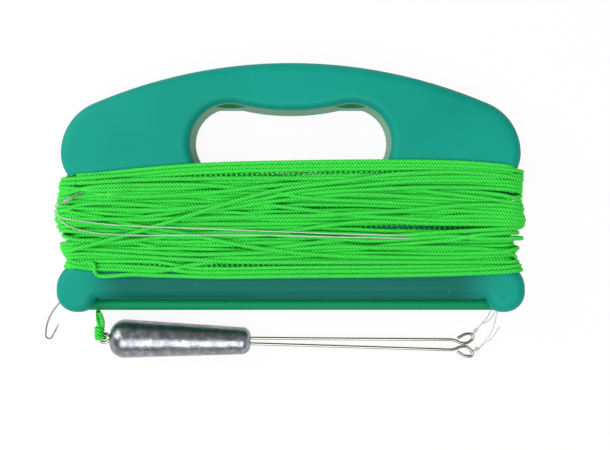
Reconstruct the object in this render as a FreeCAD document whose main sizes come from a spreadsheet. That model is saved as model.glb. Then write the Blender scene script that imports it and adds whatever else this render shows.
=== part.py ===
import FreeCAD, Part
import os
from math import asin, atan, atan2, cos, degrees, pi, radians, sin, sqrt, tan

import Sketcher

# Handline winder lying on its back. X runs along the bar, Y towards the grip, Z out of the front face.
# All lengths are in millimetres and all angles in degrees. Levels below the middle of the frame are
# given as positive drops.

# Hollow moulded frame
frameSizes = [
    ("frame_thickness", 22.0),
    ("frame_wall", 2.2),
    ("bar_half_width", 118.9),
    ("handle_set_in", 2.1),
    ("handle_top", 63.0),
    ("crown_radius", 254.0),
    ("shoulder_radius", 27.5),
    ("flank_radius", 19.7),
    ("waist_radius", 4.0),
    ("waist_depth", 8.9),
    ("lobe_top_radius", 13.7),
    ("lobe_side_length", 1.9),
    ("lobe_heel_radius", 10.2),
    ("lobe_toe_radius", 8.0),
    ("lobe_width", 19.9),
    ("lobe_below_bar", 7.4),
    ("bar_corner_radius", 1.5),
    ("bar_bottom_drop", 56.2),
    ("edge_radius", 5.5),
]

# Hand opening, narrowest at the parting line, with the trimmed flash left in its two upper lobes
openingSizes = [
    ("opening_half_length", 49.1),
    ("opening_end_radius", 18.2),
    ("opening_floor_level", 4.1),
    ("finger_ridge_height", 3.7),
    ("opening_draft", 16.0),
    ("grip_edge_radius", 4.0),
    ("flash_thickness", 2.4),
    ("flash_height", 0.8),
    ("flash_half_length", 7.0),
]

# Recess that the line is wound in, and the rail that hooks are parked on
recessSizes = [
    ("recess_depth", 4.2),
    ("recess_top", 4.0),
    ("recess_bottom_drop", 39.5),
    ("step_wall", 0.3),
    ("rail_diameter", 6.0),
    ("rail_below_bar", 4.0),
    ("rail_web", 3.0),
    ("rail_end_in_lobe", 5.0),
]

# Wound line and its free end
lineSizes = [
    ("line_diameter", 2.3),
    ("winding_proud", 2.8),
    ("winding_gap", 0.25),
    ("winding_end_build", 8.4),
    ("winding_over_top_end", 2.0),
    ("winding_top_bow", 6.8),
    ("winding_short_of_bottom_end", 1.0),
    ("winding_bottom_bow", 7.3),
    ("winding_end_radius", 10.0),
    ("knot_wrap_radius", 1.6),
    ("knot_wrap_pitch", 2.1),
]

# Cast sinker on its spreader wire
sinkerSizes = [
    ("sinker_length", 73.0),
    ("sinker_tail_radius", 9.95),
    ("sinker_nose_radius", 7.1),
    ("sinker_tail_round", 7.6),
    ("sinker_nose_round", 4.6),
    ("wire_diameter", 1.6),
    ("wire_bore_gap", 0.02),
    ("leg_offset_tail", 1.0),
    ("leg_offset_nose", 1.42),
    ("arm_end_offset", 2.75),
    ("arm_end_distance", 180.6),
    ("loop_length", 10.7),
    ("loop_width", 5.15),
    ("loop_inset", 1.9),
    ("eye_length", 4.9),
    ("eye_half_width", 2.3),
]

# Clear snoods, their knots, and the hooks
tackleSizes = [
    ("snood_diameter", 0.6),
    ("snood_knot_diameter", 2.2),
    ("snood_knot_length", 4.2),
    ("hook_wire", 0.8),
    ("hook_shank", 12.8),
    ("hook_sweep_radius", 23.0),
    ("hook_bend_radius", 1.8),
    ("hook_point", 8.0),
    ("hook_tip", 2.4),
    ("spade_width", 1.5),
    ("spade_thickness", 0.4),
    ("whipping_start", 0.9),
    ("whipping_length", 4.4),
    ("whipping_diameter", 1.6),
]

# Sizes that the sheet works out from the others
followingSizes = [
    ("handle_half_width", "bar_half_width - handle_set_in"),
    ("core_half_width", "bar_half_width - waist_depth"),
    ("lobe_inner_half", "bar_half_width - lobe_width"),
    ("lobe_bottom_drop", "bar_bottom_drop + lobe_below_bar"),
    ("lobe_side_drop", "lobe_bottom_drop - lobe_heel_radius - lobe_side_length"),
    ("opening_centre_level", "opening_floor_level + opening_end_radius"),
    ("opening_top_level", "opening_centre_level + opening_end_radius"),
    ("finger_ridge_level", "opening_top_level - finger_ridge_height"),
    ("flash_trim_level", "opening_top_level - flash_height"),
    ("step_radius", "recess_depth - step_wall"),
    ("rail_drop", "bar_bottom_drop + rail_below_bar"),
    ("winding_thickness", "frame_thickness + 2 * winding_proud"),
    ("winding_half_width", "core_half_width + winding_end_build"),
    ("winding_top_end", "recess_top + winding_over_top_end"),
    ("winding_top_middle", "winding_top_end + winding_top_bow"),
    ("winding_bottom_end_drop", "recess_bottom_drop - winding_short_of_bottom_end"),
    ("winding_bottom_middle_drop", "winding_bottom_end_drop + winding_bottom_bow"),
]

# Turns of the hook's wire: a slow sweep down the shank, then the tight bend
sweepTurn = 38.8
bendTurn = 152.9

# The sinker's tail end, measured in from the bar's left end and down from the lobes, and how the rig
# is turned away from the bar
rigInset = 24.7
rigDrop = 14.7
rigYaw = -1.5
rigLift = 0.12
tableClearance = 0.05

# The knot sits on the wire's eye; its wraps are stacked towards the bar, and its cut end leaves their top
knotSide = 0.4
knotWraps = 3
tagStart = (2.6, 0.2, 0.5)
tagEnd = (0.9, 7.4, 3.9)

# The way each snood's knot points, off its wire loop
upperKnotHeading = (2.9, 3.4, 0.0)
lowerKnotHeading = (2.4, 1.3, 0.0)


def vec(x, y, z=0.0):
    return FreeCAD.Vector(x, y, z)


def makeSheet(doc):
    """The spreadsheet of driving dimensions, one alias a row."""
    sheet = doc.addObject("Spreadsheet::Sheet", "Sizes")
    groups = (frameSizes, openingSizes, recessSizes, lineSizes, sinkerSizes, tackleSizes)
    row = 1
    for group in groups:
        for name, number in group:
            sheet.set(f"A{row}", name)
            sheet.set(f"B{row}", str(number))
            sheet.setAlias(f"B{row}", name)
            row += 1
    for name, formula in followingSizes:
        sheet.set(f"A{row}", name)
        sheet.set(f"B{row}", "=" + formula)
        sheet.setAlias(f"B{row}", name)
        row += 1
    doc.recompute()
    return sheet


doc = FreeCAD.newDocument("HandlineWinder")
sheet = makeSheet(doc)


def size(name):
    return float(sheet.get(name))


# Places of loose parts, measured from the frame's ends and from the front of the winding


def right(inset):
    return size("bar_half_width") - inset


def left(inset):
    return -right(inset)


def front(rise):
    return size("winding_thickness") + rise


# Sketch helpers


def originPlane(body, role):
    return next(f for f in body.Origin.OriginFeatures if f.Role == role)


def newSketch(body, name, role):
    sketch = body.newObject("Sketcher::SketchObject", name)
    sketch.AttachmentSupport = [(originPlane(body, role), "")]
    sketch.MapMode = "FlatFace"
    return sketch


def addLine(sketch, start, end):
    return sketch.addGeometry(Part.LineSegment(vec(*start), vec(*end)), False)


def addArc(sketch, centre, radius, first, last):
    """An arc that runs anticlockwise from the angle first to the angle last."""
    circle = Part.Circle(vec(*centre), vec(0, 0, 1), radius)
    return sketch.addGeometry(Part.ArcOfCircle(circle, radians(first), radians(last)), False)


def touch(sketch, a, aEnd, b, bEnd):
    sketch.addConstraint(Sketcher.Constraint("Coincident", a, aEnd, b, bEnd))


def smooth(sketch, a, aEnd, b, bEnd):
    sketch.addConstraint(Sketcher.Constraint("Tangent", a, aEnd, b, bEnd))


def level(sketch, line):
    sketch.addConstraint(Sketcher.Constraint("Horizontal", line))


def upright(sketch, line):
    sketch.addConstraint(Sketcher.Constraint("Vertical", line))


def onAxis(sketch, item, end):
    sketch.addConstraint(Sketcher.Constraint("PointOnObject", item, end, -2))


def bindRadius(sketch, item, expression):
    number = sketch.Geometry[item].Radius
    index = sketch.addConstraint(Sketcher.Constraint("Radius", item, number))
    sketch.setExpression(f"Constraints[{index}]", expression)


def bindAcross(sketch, item, end, expression):
    """Ties a point's distance along the sketch's first axis to the sheet."""
    x = sketch.getPoint(item, end).x
    ends = (-1, 1, item, end) if x >= 0 else (item, end, -1, 1)
    index = sketch.addConstraint(Sketcher.Constraint("DistanceX", *ends, abs(x)))
    sketch.setExpression(f"Constraints[{index}]", expression)


def bindUp(sketch, item, end, expression):
    """Ties a point's distance along the sketch's second axis to the sheet."""
    y = sketch.getPoint(item, end).y
    ends = (-1, 1, item, end) if y >= 0 else (item, end, -1, 1)
    index = sketch.addConstraint(Sketcher.Constraint("DistanceY", *ends, abs(y)))
    sketch.setExpression(f"Constraints[{index}]", expression)


def angleTo(centre, point):
    return degrees(atan2(point[1] - centre[1], point[0] - centre[0]))


def chainLines(sketch, points):
    """A closed chain of straight lines through the points, in order."""
    lines = []
    for i, point in enumerate(points):
        lines.append(addLine(sketch, point, points[(i + 1) % len(points)]))
    for i, line in enumerate(lines):
        touch(sketch, line, 2, lines[(i + 1) % len(lines)], 1)
    return lines


# Feature helpers


def symmetricPad(body, name, sketch, expression, kind="PartDesign::Pad"):
    feature = body.newObject(kind, name)
    feature.Profile = sketch
    feature.Midplane = True
    feature.setExpression("Length", expression)
    body.Tip = feature
    doc.recompute()
    return feature


def draftedPocket(body, name, sketch):
    """A pocket through both faces that widens from the sketch's plane towards each of them."""
    feature = body.newObject("PartDesign::Pocket", name)
    feature.Profile = sketch
    feature.SideType = "Symmetric"
    feature.setExpression("Length", "Sizes.frame_thickness * 2")
    feature.setExpression("TaperAngle", "Sizes.opening_draft")
    body.Tip = feature
    doc.recompute()
    return feature


def mirror(body, name, originals, role):
    feature = body.newObject("PartDesign::Mirrored", name)
    feature.Originals = originals
    feature.MirrorPlane = (originPlane(body, role), [""])
    body.Tip = feature
    doc.recompute()
    return feature


def roundEdges(body, name, base, chosen, expression):
    feature = body.newObject("PartDesign::Fillet", name)
    feature.Base = (base, chosen)
    feature.setExpression("Radius", expression)
    body.Tip = feature
    doc.recompute()
    return feature


# The frame. Three bodies share its outline: the outer form, the hollow inside it, and the room that
# the wound line leaves round it. inset is how far each lies inside the outer form.


def insetTerms(alias):
    """The inset itself, and the text that takes it away from or adds it to an expression."""
    if alias is None:
        return 0.0, "", ""
    if alias == "frame_wall":
        return size(alias), " - Sizes.frame_wall", " + Sizes.frame_wall"
    return -size(alias), f" + Sizes.{alias}", f" - Sizes.{alias}"


def frameOutline(body, terms):
    """Right half of the frame's outline: grip, waist, and the bar with its end lobe."""
    inset, less, more = terms
    sketch = newSketch(body, "outline_" + body.Name, "XY_Plane")
    crown = (0.0, size("handle_top") - size("crown_radius"))
    shoulderX = size("handle_half_width") - size("shoulder_radius")
    reach = size("crown_radius") - size("shoulder_radius")
    shoulder = (shoulderX, crown[1] + sqrt(reach**2 - shoulderX**2))
    flank = (size("handle_half_width") - size("flank_radius"), shoulder[1])
    waist = size("waist_radius")
    upperX = size("core_half_width") + waist
    upperDrop = sqrt((size("flank_radius") + waist) ** 2 - (upperX - flank[0]) ** 2)
    upper = (upperX, flank[1] - upperDrop)
    lobe = (size("bar_half_width") - size("lobe_top_radius"), -size("lobe_side_drop"))
    lowerRise = sqrt((size("lobe_top_radius") + waist) ** 2 - (upperX - lobe[0]) ** 2)
    lower = (upperX, lobe[1] + lowerRise)
    heelR = size("lobe_heel_radius")
    heel = (size("bar_half_width") - heelR, heelR - size("lobe_bottom_drop"))
    toeR = size("lobe_toe_radius")
    toe = (size("lobe_inner_half") + toeR, toeR - size("lobe_bottom_drop"))
    corner = size("bar_corner_radius")
    cornerY = -size("bar_bottom_drop") - corner
    cornerX = toe[0] - sqrt((toeR + corner) ** 2 - (toe[1] - cornerY) ** 2)
    notch = (cornerX, cornerY)

    top = size("handle_top") - inset
    bottom = -size("bar_bottom_drop") + inset
    coreX = size("core_half_width") - inset
    barX = size("bar_half_width") - inset
    lobeY = -size("lobe_bottom_drop") + inset
    spine = addLine(sketch, (0, bottom), (0, top))
    crownArc = addArc(sketch, crown, size("crown_radius") - inset, angleTo(crown, shoulder), 90)
    shoulderArc = addArc(sketch, shoulder, size("shoulder_radius") - inset, 0, angleTo(crown, shoulder))
    flankArc = addArc(sketch, flank, size("flank_radius") - inset, angleTo(flank, upper), 0)
    upperArc = addArc(sketch, upper, waist + inset, angleTo(upper, flank), 180)
    coreSide = addLine(sketch, (coreX, upper[1]), (coreX, lower[1]))
    lowerArc = addArc(sketch, lower, waist + inset, 180, 360 + angleTo(lower, lobe))
    lobeArc = addArc(sketch, lobe, size("lobe_top_radius") - inset, 0, angleTo(lobe, lower))
    lobeSide = addLine(sketch, (barX, lobe[1]), (barX, heel[1]))
    heelArc = addArc(sketch, heel, heelR - inset, 270, 360)
    lobeBase = addLine(sketch, (heel[0], lobeY), (toe[0], lobeY))
    toeArc = addArc(sketch, toe, toeR - inset, 360 + angleTo(toe, notch), 270)
    notchArc = addArc(sketch, notch, corner + inset, angleTo(notch, toe), 90)
    barBase = addLine(sketch, (notch[0], bottom), (0, bottom))

    smooth(sketch, crownArc, 1, shoulderArc, 2)
    smooth(sketch, shoulderArc, 1, flankArc, 2)
    smooth(sketch, flankArc, 1, upperArc, 1)
    smooth(sketch, upperArc, 2, coreSide, 1)
    smooth(sketch, coreSide, 2, lowerArc, 1)
    smooth(sketch, lowerArc, 2, lobeArc, 2)
    smooth(sketch, lobeArc, 1, lobeSide, 1)
    smooth(sketch, lobeSide, 2, heelArc, 2)
    smooth(sketch, heelArc, 1, lobeBase, 1)
    smooth(sketch, lobeBase, 2, toeArc, 2)
    smooth(sketch, toeArc, 1, notchArc, 1)
    smooth(sketch, notchArc, 2, barBase, 1)
    touch(sketch, barBase, 2, spine, 1)
    touch(sketch, spine, 2, crownArc, 2)

    onAxis(sketch, spine, 1)
    onAxis(sketch, spine, 2)
    onAxis(sketch, crownArc, 3)
    for line in (coreSide, lobeSide):
        upright(sketch, line)
    for line in (lobeBase, barBase):
        level(sketch, line)
    bindUp(sketch, spine, 2, "Sizes.handle_top" + less)
    bindRadius(sketch, crownArc, "Sizes.crown_radius" + less)
    bindRadius(sketch, shoulderArc, "Sizes.shoulder_radius" + less)
    bindRadius(sketch, flankArc, "Sizes.flank_radius" + less)
    bindRadius(sketch, upperArc, "Sizes.waist_radius" + more)
    bindRadius(sketch, lowerArc, "Sizes.waist_radius" + more)
    bindRadius(sketch, lobeArc, "Sizes.lobe_top_radius" + less)
    bindRadius(sketch, heelArc, "Sizes.lobe_heel_radius" + less)
    bindRadius(sketch, toeArc, "Sizes.lobe_toe_radius" + less)
    bindRadius(sketch, notchArc, "Sizes.bar_corner_radius" + more)
    bindAcross(sketch, shoulderArc, 1, "Sizes.handle_half_width" + less)
    sketch.addConstraint(Sketcher.Constraint("Horizontal", shoulderArc, 3, shoulderArc, 1))
    bindAcross(sketch, coreSide, 1, "Sizes.core_half_width" + less)
    bindAcross(sketch, lobeSide, 1, "Sizes.bar_half_width" + less)
    bindAcross(sketch, toeArc, 3, "Sizes.lobe_inner_half + Sizes.lobe_toe_radius")
    bindUp(sketch, lobeSide, 1, "Sizes.lobe_side_drop")
    bindUp(sketch, lobeBase, 1, "Sizes.lobe_bottom_drop" + less)
    bindUp(sketch, barBase, 1, "Sizes.bar_bottom_drop" + less)
    return sketch


def openingOutline(body, terms):
    """The hand opening at the parting line: two round ends, and a ridge between the fingers."""
    inset, less, more = terms
    sketch = newSketch(body, "opening_" + body.Name, "XY_Plane")
    endR = size("opening_end_radius") + inset
    height = size("finger_ridge_height")
    endX = size("opening_half_length") - size("opening_end_radius")
    level0 = size("opening_centre_level")
    rightEnd, leftEnd = (endX, level0), (-endX, level0)
    ridgeR = (endX**2 - height * (2 * endR - height)) / (2 * height)
    ridge = (0.0, level0 + endR - height + ridgeR)
    floor = level0 - endR

    ridgeArc = addArc(sketch, ridge, ridgeR, 360 + angleTo(ridge, leftEnd), 360 + angleTo(ridge, rightEnd))
    rightArc = addArc(sketch, rightEnd, endR, -90, angleTo(rightEnd, ridge))
    leftArc = addArc(sketch, leftEnd, endR, angleTo(leftEnd, ridge), 270)
    base = addLine(sketch, (-endX, floor), (endX, floor))
    smooth(sketch, ridgeArc, 2, rightArc, 2)
    smooth(sketch, rightArc, 1, base, 2)
    smooth(sketch, base, 1, leftArc, 2)
    smooth(sketch, leftArc, 1, ridgeArc, 1)
    level(sketch, base)
    across = "Sizes.opening_half_length - Sizes.opening_end_radius"
    rise = f"Sizes.finger_ridge_height * (2 * (Sizes.opening_end_radius{more}) - Sizes.finger_ridge_height)"
    bindRadius(sketch, ridgeArc, f"(({across}) ^ 2 - {rise}) / (2 * Sizes.finger_ridge_height)")
    for arc in (rightArc, leftArc):
        bindRadius(sketch, arc, "Sizes.opening_end_radius" + more)
        bindAcross(sketch, arc, 3, across)
    bindUp(sketch, rightArc, 3, "Sizes.opening_centre_level")
    return sketch


def recessProfile(body, terms):
    """Section of the front recess, seen along the bar, with rounded steps above and below it."""
    inset, less, more = terms
    sketch = newSketch(body, "recess_" + body.Name, "YZ_Plane")
    face = size("frame_thickness") / 2 - inset
    radius = size("step_radius") - inset
    floor = face - size("recess_depth")
    rim = face + size("recess_depth")
    high = size("recess_top") + inset
    low = -size("recess_bottom_drop") - inset

    base = addLine(sketch, (low, floor), (high, floor))
    highWall = addLine(sketch, (high, floor), (high, face - radius))
    highStep = addArc(sketch, (high + radius, face - radius), radius, 90, 180)
    highRim = addLine(sketch, (high + radius, face), (high + radius, rim))
    lid = addLine(sketch, (high + radius, rim), (low - radius, rim))
    lowRim = addLine(sketch, (low - radius, rim), (low - radius, face))
    lowStep = addArc(sketch, (low - radius, face - radius), radius, 0, 90)
    lowWall = addLine(sketch, (low, face - radius), (low, floor))
    touch(sketch, base, 2, highWall, 1)
    smooth(sketch, highWall, 2, highStep, 2)
    touch(sketch, highStep, 1, highRim, 1)
    touch(sketch, highRim, 2, lid, 1)
    touch(sketch, lid, 2, lowRim, 1)
    touch(sketch, lowRim, 2, lowStep, 2)
    smooth(sketch, lowStep, 1, lowWall, 1)
    touch(sketch, lowWall, 2, base, 1)
    for line in (base, lid):
        level(sketch, line)
    for line in (highWall, highRim, lowRim, lowWall):
        upright(sketch, line)
    bindRadius(sketch, highStep, "Sizes.step_radius" + less)
    bindRadius(sketch, lowStep, "Sizes.step_radius" + less)
    bindAcross(sketch, base, 1, "Sizes.recess_bottom_drop" + more)
    bindAcross(sketch, base, 2, "Sizes.recess_top" + more)
    bindUp(sketch, base, 1, "Sizes.frame_thickness / 2 - Sizes.recess_depth" + less)
    bindUp(sketch, highStep, 1, "Sizes.frame_thickness / 2" + less)
    bindUp(sketch, lowStep, 2, "Sizes.frame_thickness / 2" + less)
    bindAcross(sketch, highStep, 1, "Sizes.recess_top + Sizes.step_radius")
    bindAcross(sketch, lowStep, 2, "Sizes.recess_bottom_drop + Sizes.step_radius")
    bindUp(sketch, lid, 1, "Sizes.frame_thickness / 2 + Sizes.recess_depth" + less)
    return sketch


def faceEdges(shape, face, inner):
    """Names of the edges on the two flat faces, of the hand opening or of the outer outline."""
    chosen = []
    widening = face * tan(radians(size("opening_draft")))
    reach = size("opening_half_length") + widening + size("frame_wall") + 1
    for i, edge in enumerate(shape.Edges):
        box = edge.BoundBox
        if box.ZLength > 1e-4 or abs(abs(box.ZMin) - face) > 1e-4:
            continue
        isInner = box.XMax < reach and box.XMin > -reach
        isInner = isInner and box.YMin > -10 and box.YMax < size("handle_top") - 10
        if isInner == inner:
            chosen.append(f"Edge{i + 1}")
    return chosen


def frameBody(name, alias):
    """The frame's form, or a copy of it that lies inside or outside by the size named alias."""
    terms = insetTerms(alias)
    inset, less, more = terms
    body = doc.addObject("PartDesign::Body", name)
    outline = frameOutline(body, terms)
    slab = symmetricPad(body, "slab_" + name, outline, f"Sizes.frame_thickness{less}{less}")
    mirror(body, "both_halves_" + name, [slab], "YZ_Plane")
    whole = draftedPocket(body, "hand_hole_" + name, openingOutline(body, terms))
    face = size("frame_thickness") / 2 - inset
    outer = roundEdges(
        body, "soft_rim_" + name, whole, faceEdges(whole.Shape, face, False), "Sizes.edge_radius" + less
    )
    grip = roundEdges(
        body, "soft_grip_" + name, outer, faceEdges(outer.Shape, face, True),
        "Sizes.grip_edge_radius" + less,
    )
    before = grip.Shape.Volume
    recess = recessProfile(body, terms)
    front = symmetricPad(
        body, "front_recess_" + name, recess, "Sizes.bar_half_width * 3", "PartDesign::Pocket"
    )
    both = mirror(body, "both_recesses_" + name, [front], "XY_Plane")
    taken = before - front.Shape.Volume
    if taken <= 0 or abs(front.Shape.Volume - both.Shape.Volume - taken) > 1:
        raise RuntimeError("the recesses of " + name + " are not alike")
    return body


def addRail(body):
    """The bead along the foot of the bar that hooks are parked on, on its thin web."""
    sketch = newSketch(body, "rail_section", "YZ_Plane")
    radius = size("rail_diameter") / 2
    half = size("rail_web") / 2
    centre = (-size("rail_drop"), 0.0)
    neck = degrees(asin(half / radius))
    neckY = centre[0] + sqrt(radius**2 - half**2)
    rootY = -size("bar_bottom_drop") + size("frame_wall") / 2
    bead = addArc(sketch, centre, radius, neck, 360 - neck)
    lower = addLine(sketch, (neckY, -half), (rootY, -half))
    root = addLine(sketch, (rootY, -half), (rootY, half))
    upper = addLine(sketch, (rootY, half), (neckY, half))
    touch(sketch, bead, 2, lower, 1)
    touch(sketch, lower, 2, root, 1)
    touch(sketch, root, 2, upper, 1)
    touch(sketch, upper, 2, bead, 1)
    level(sketch, lower)
    upright(sketch, root)
    level(sketch, upper)
    sketch.addConstraint(Sketcher.Constraint("PointOnObject", bead, 3, -1))
    bindRadius(sketch, bead, "Sizes.rail_diameter / 2")
    bindAcross(sketch, bead, 3, "Sizes.rail_drop")
    bindAcross(sketch, root, 1, "Sizes.bar_bottom_drop - Sizes.frame_wall / 2")
    bindUp(sketch, root, 1, "Sizes.rail_web / 2")
    bindUp(sketch, root, 2, "Sizes.rail_web / 2")
    symmetricPad(body, "rail", sketch, "2 * (Sizes.lobe_inner_half + Sizes.rail_end_in_lobe)")


def addFlash(body):
    """Slivers of trimmed web at the parting line, in the two upper lobes of the hand opening."""
    sketch = newSketch(body, "flash_outline", "XY_Plane")
    middle = size("opening_half_length") - size("opening_end_radius")
    half = size("flash_half_length")
    low = size("flash_trim_level")
    high = size("opening_top_level") + size("frame_wall") / 2
    corners = [(middle - half, low), (middle + half, low), (middle + half, high), (middle - half, high)]
    base, right, lid, left = chainLines(sketch, corners)
    for line in (base, lid):
        level(sketch, line)
    for line in (left, right):
        upright(sketch, line)
    place = "Sizes.opening_half_length - Sizes.opening_end_radius"
    bindAcross(sketch, base, 1, place + " - Sizes.flash_half_length")
    bindAcross(sketch, base, 2, place + " + Sizes.flash_half_length")
    bindUp(sketch, base, 1, "Sizes.flash_trim_level")
    bindUp(sketch, lid, 1, "Sizes.opening_top_level + Sizes.frame_wall / 2")
    web = symmetricPad(body, "flash", sketch, "Sizes.flash_thickness")
    mirror(body, "both_flashes", [web], "YZ_Plane")


def cutObject(name, base, tool):
    cut = doc.addObject("Part::Cut", name)
    cut.Base = base
    cut.Tool = tool
    cut.Label = name
    return cut


def winderFrame():
    outer = frameBody("frame_form", None)
    addRail(outer)
    addFlash(outer)
    hollow = frameBody("frame_hollow", "frame_wall")
    frame = cutObject("winder_frame", outer, hollow)
    frame.setExpression("Placement.Base.z", "Sizes.winding_thickness / 2")
    return frame


# The wound line


def lineWinding():
    """One closed sleeve round the core, with the outer shape of all the turns."""
    body = doc.addObject("PartDesign::Body", "winding_form")
    sketch = newSketch(body, "winding_outline", "XY_Plane")
    halfX = size("winding_half_width")
    topEnd, topMiddle = size("winding_top_end"), size("winding_top_middle")
    lowEnd, lowMiddle = -size("winding_bottom_end_drop"), -size("winding_bottom_middle_drop")
    topR = (halfX**2 + (topMiddle - topEnd) ** 2) / (2 * (topMiddle - topEnd))
    lowR = (halfX**2 + (lowEnd - lowMiddle) ** 2) / (2 * (lowEnd - lowMiddle))
    spread = degrees(asin(halfX / topR))
    lowSpread = degrees(asin(halfX / lowR))
    top = addArc(sketch, (0, topMiddle - topR), topR, 90 - spread, 90 + spread)
    left = addLine(sketch, (-halfX, topEnd), (-halfX, lowEnd))
    low = addArc(sketch, (0, lowMiddle + lowR), lowR, 270 - lowSpread, 270 + lowSpread)
    right = addLine(sketch, (halfX, lowEnd), (halfX, topEnd))
    touch(sketch, top, 2, left, 1)
    touch(sketch, left, 2, low, 1)
    touch(sketch, low, 2, right, 1)
    touch(sketch, right, 2, top, 1)
    for line in (left, right):
        upright(sketch, line)
    for arc in (top, low):
        onAxis(sketch, arc, 3)
    bindAcross(sketch, right, 1, "Sizes.winding_half_width")
    bindUp(sketch, right, 1, "Sizes.winding_bottom_end_drop")
    bindUp(sketch, right, 2, "Sizes.winding_top_end")
    for arc, bow in ((top, "Sizes.winding_top_bow"), (low, "Sizes.winding_bottom_bow")):
        bindRadius(sketch, arc, f"(Sizes.winding_half_width ^ 2 + {bow} ^ 2) / (2 * {bow})")
    pad = symmetricPad(body, "turns", sketch, "Sizes.winding_thickness")
    ends = [
        f"Edge{i + 1}"
        for i, edge in enumerate(pad.Shape.Edges)
        if edge.BoundBox.XLength < 1e-4 and edge.BoundBox.YLength > 1
    ]
    roundEdges(body, "round_ends", pad, ends, "Sizes.winding_end_radius")

    core = newSketch(body, "core_room", "XZ_Plane")
    x = size("core_half_width") + size("winding_gap")
    z = size("frame_thickness") / 2 - size("recess_depth") + size("winding_gap")
    base, rightWall, lid, leftWall = chainLines(core, [(-x, -z), (x, -z), (x, z), (-x, z)])
    for line in (base, lid):
        level(core, line)
    for line in (leftWall, rightWall):
        upright(core, line)
    bindAcross(core, base, 1, "Sizes.core_half_width + Sizes.winding_gap")
    bindAcross(core, base, 2, "Sizes.core_half_width + Sizes.winding_gap")
    deep = "Sizes.frame_thickness / 2 - Sizes.recess_depth + Sizes.winding_gap"
    bindUp(core, base, 1, deep)
    bindUp(core, lid, 1, deep)
    symmetricPad(body, "core_slot", core, "Sizes.handle_top * 4", "PartDesign::Pocket")

    room = frameBody("winding_room", "winding_gap")
    winding = cutObject("line_winding", body, room)
    winding.setExpression("Placement.Base.z", "Sizes.winding_thickness / 2")
    return winding


# Cords and wires


def roundedPath(points, radii=None):
    """Straight runs joined by tangent arcs, each arc as large as its two runs allow."""
    points = [vec(*p) for p in points]
    edges = []
    start = points[0]
    used = []
    for i in range(1, len(points) - 1):
        before = points[i] - points[i - 1]
        after = points[i + 1] - points[i]
        turn = before.getAngle(after)
        shorter = min(before.Length, after.Length)
        radius = 0.45 * shorter / tan(turn / 2)
        if radii:
            radius = min(radius, radii[i - 1])
        back = radius * tan(turn / 2)
        first = points[i] - before.normalize() * back
        last = points[i] + after.normalize() * back
        inward = (first + last) * 0.5 - points[i]
        reach = radius / cos(turn / 2) - radius
        middle = points[i] + inward.normalize() * reach
        if (first - start).Length > 1e-6:
            edges.append(Part.LineSegment(start, first).toShape())
        edges.append(Part.Arc(first, middle, last).toShape())
        used.append(round(radius, 1))
        start = last
    edges.append(Part.LineSegment(start, points[-1]).toShape())
    return Part.Wire(edges), used


def tube(points, diameter, radii=None, name=""):
    """A round tube along the path, whose volume has to be its section times its length."""
    path, used = roundedPath(points, radii)
    heading = vec(*points[1]) - vec(*points[0])
    ring = Part.Wire(Part.makeCircle(diameter / 2, vec(*points[0]), heading))
    solid = path.makePipeShell([ring], True, False)
    expected = pi * diameter**2 / 4 * path.Length
    if abs(solid.Volume - expected) > 0.01 * expected:
        raise RuntimeError(f"tube {name}: volume {solid.Volume:.2f}, expected {expected:.2f}")
    if name:
        print(f"{name}: length {path.Length:.1f} mm, radii {used}")
    return solid


def feature(name, shape):
    item = doc.addObject("Part::Feature", name)
    item.Shape = shape
    item.Label = name
    return item


# The rig: a cast sinker on one bent wire. Its own X axis runs along the sinker from the tail, and
# its Y axis lies in the plane of the wire.


def sinkerTaper():
    run = size("sinker_length") - size("sinker_tail_round") - size("sinker_nose_round")
    return degrees(atan((size("sinker_tail_radius") - size("sinker_nose_radius")) / run))


def rigPlacement():
    """The sinker lies almost on its tapered side, so its axis drops towards the nose."""
    taper = sinkerTaper() - rigLift
    tailRadius = size("sinker_tail_radius") + size("sinker_tail_round") * tan(radians(taper))
    height = tailRadius * cos(radians(taper)) + tableClearance
    pitch = FreeCAD.Rotation(vec(0, 1, 0), taper)
    yaw = FreeCAD.Rotation(vec(0, 0, 1), rigYaw)
    start = vec(left(rigInset), -size("lobe_bottom_drop") - rigDrop, height)
    return FreeCAD.Placement(start, yaw.multiply(pitch))


def legPoints():
    """Upper half of the wire's route, from the eye to the free end inside the loop."""
    start = size("arm_end_distance")
    offset = size("arm_end_offset")
    length, width = size("loop_length"), size("loop_width")
    near = offset - size("loop_inset")
    return [
        (-size("wire_diameter") / 2, size("leg_offset_tail"), 0),
        (size("sinker_length") + size("wire_diameter"), size("leg_offset_nose"), 0),
        (start, offset, 0),
        (start + 0.37 * length, near, 0),
        (start + 0.69 * length, near, 0),
        (start + length, near + 0.53 * width, 0),
        (start + 0.94 * length, near + width, 0),
        (start + 0.59 * length, near + width, 0),
        (start + 0.21 * length, near + 0.53 * width, 0),
    ]


def wirePoints():
    """The whole wire: the eye at its fold, two legs through the sinker, and a loop on each arm."""
    leg = legPoints()
    eye = size("eye_length")
    halfEye = size("eye_half_width")
    upper = list(reversed(leg)) + [(-0.39 * eye, halfEye, 0), (-eye, halfEye, 0)]
    lower = [(x, -y, z) for x, y, z in reversed(upper)]
    return upper + lower


def spreaderWire():
    item = feature("spreader_wire", tube(wirePoints(), size("wire_diameter"), name="spreader_wire"))
    item.Placement = rigPlacement()
    return item


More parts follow.
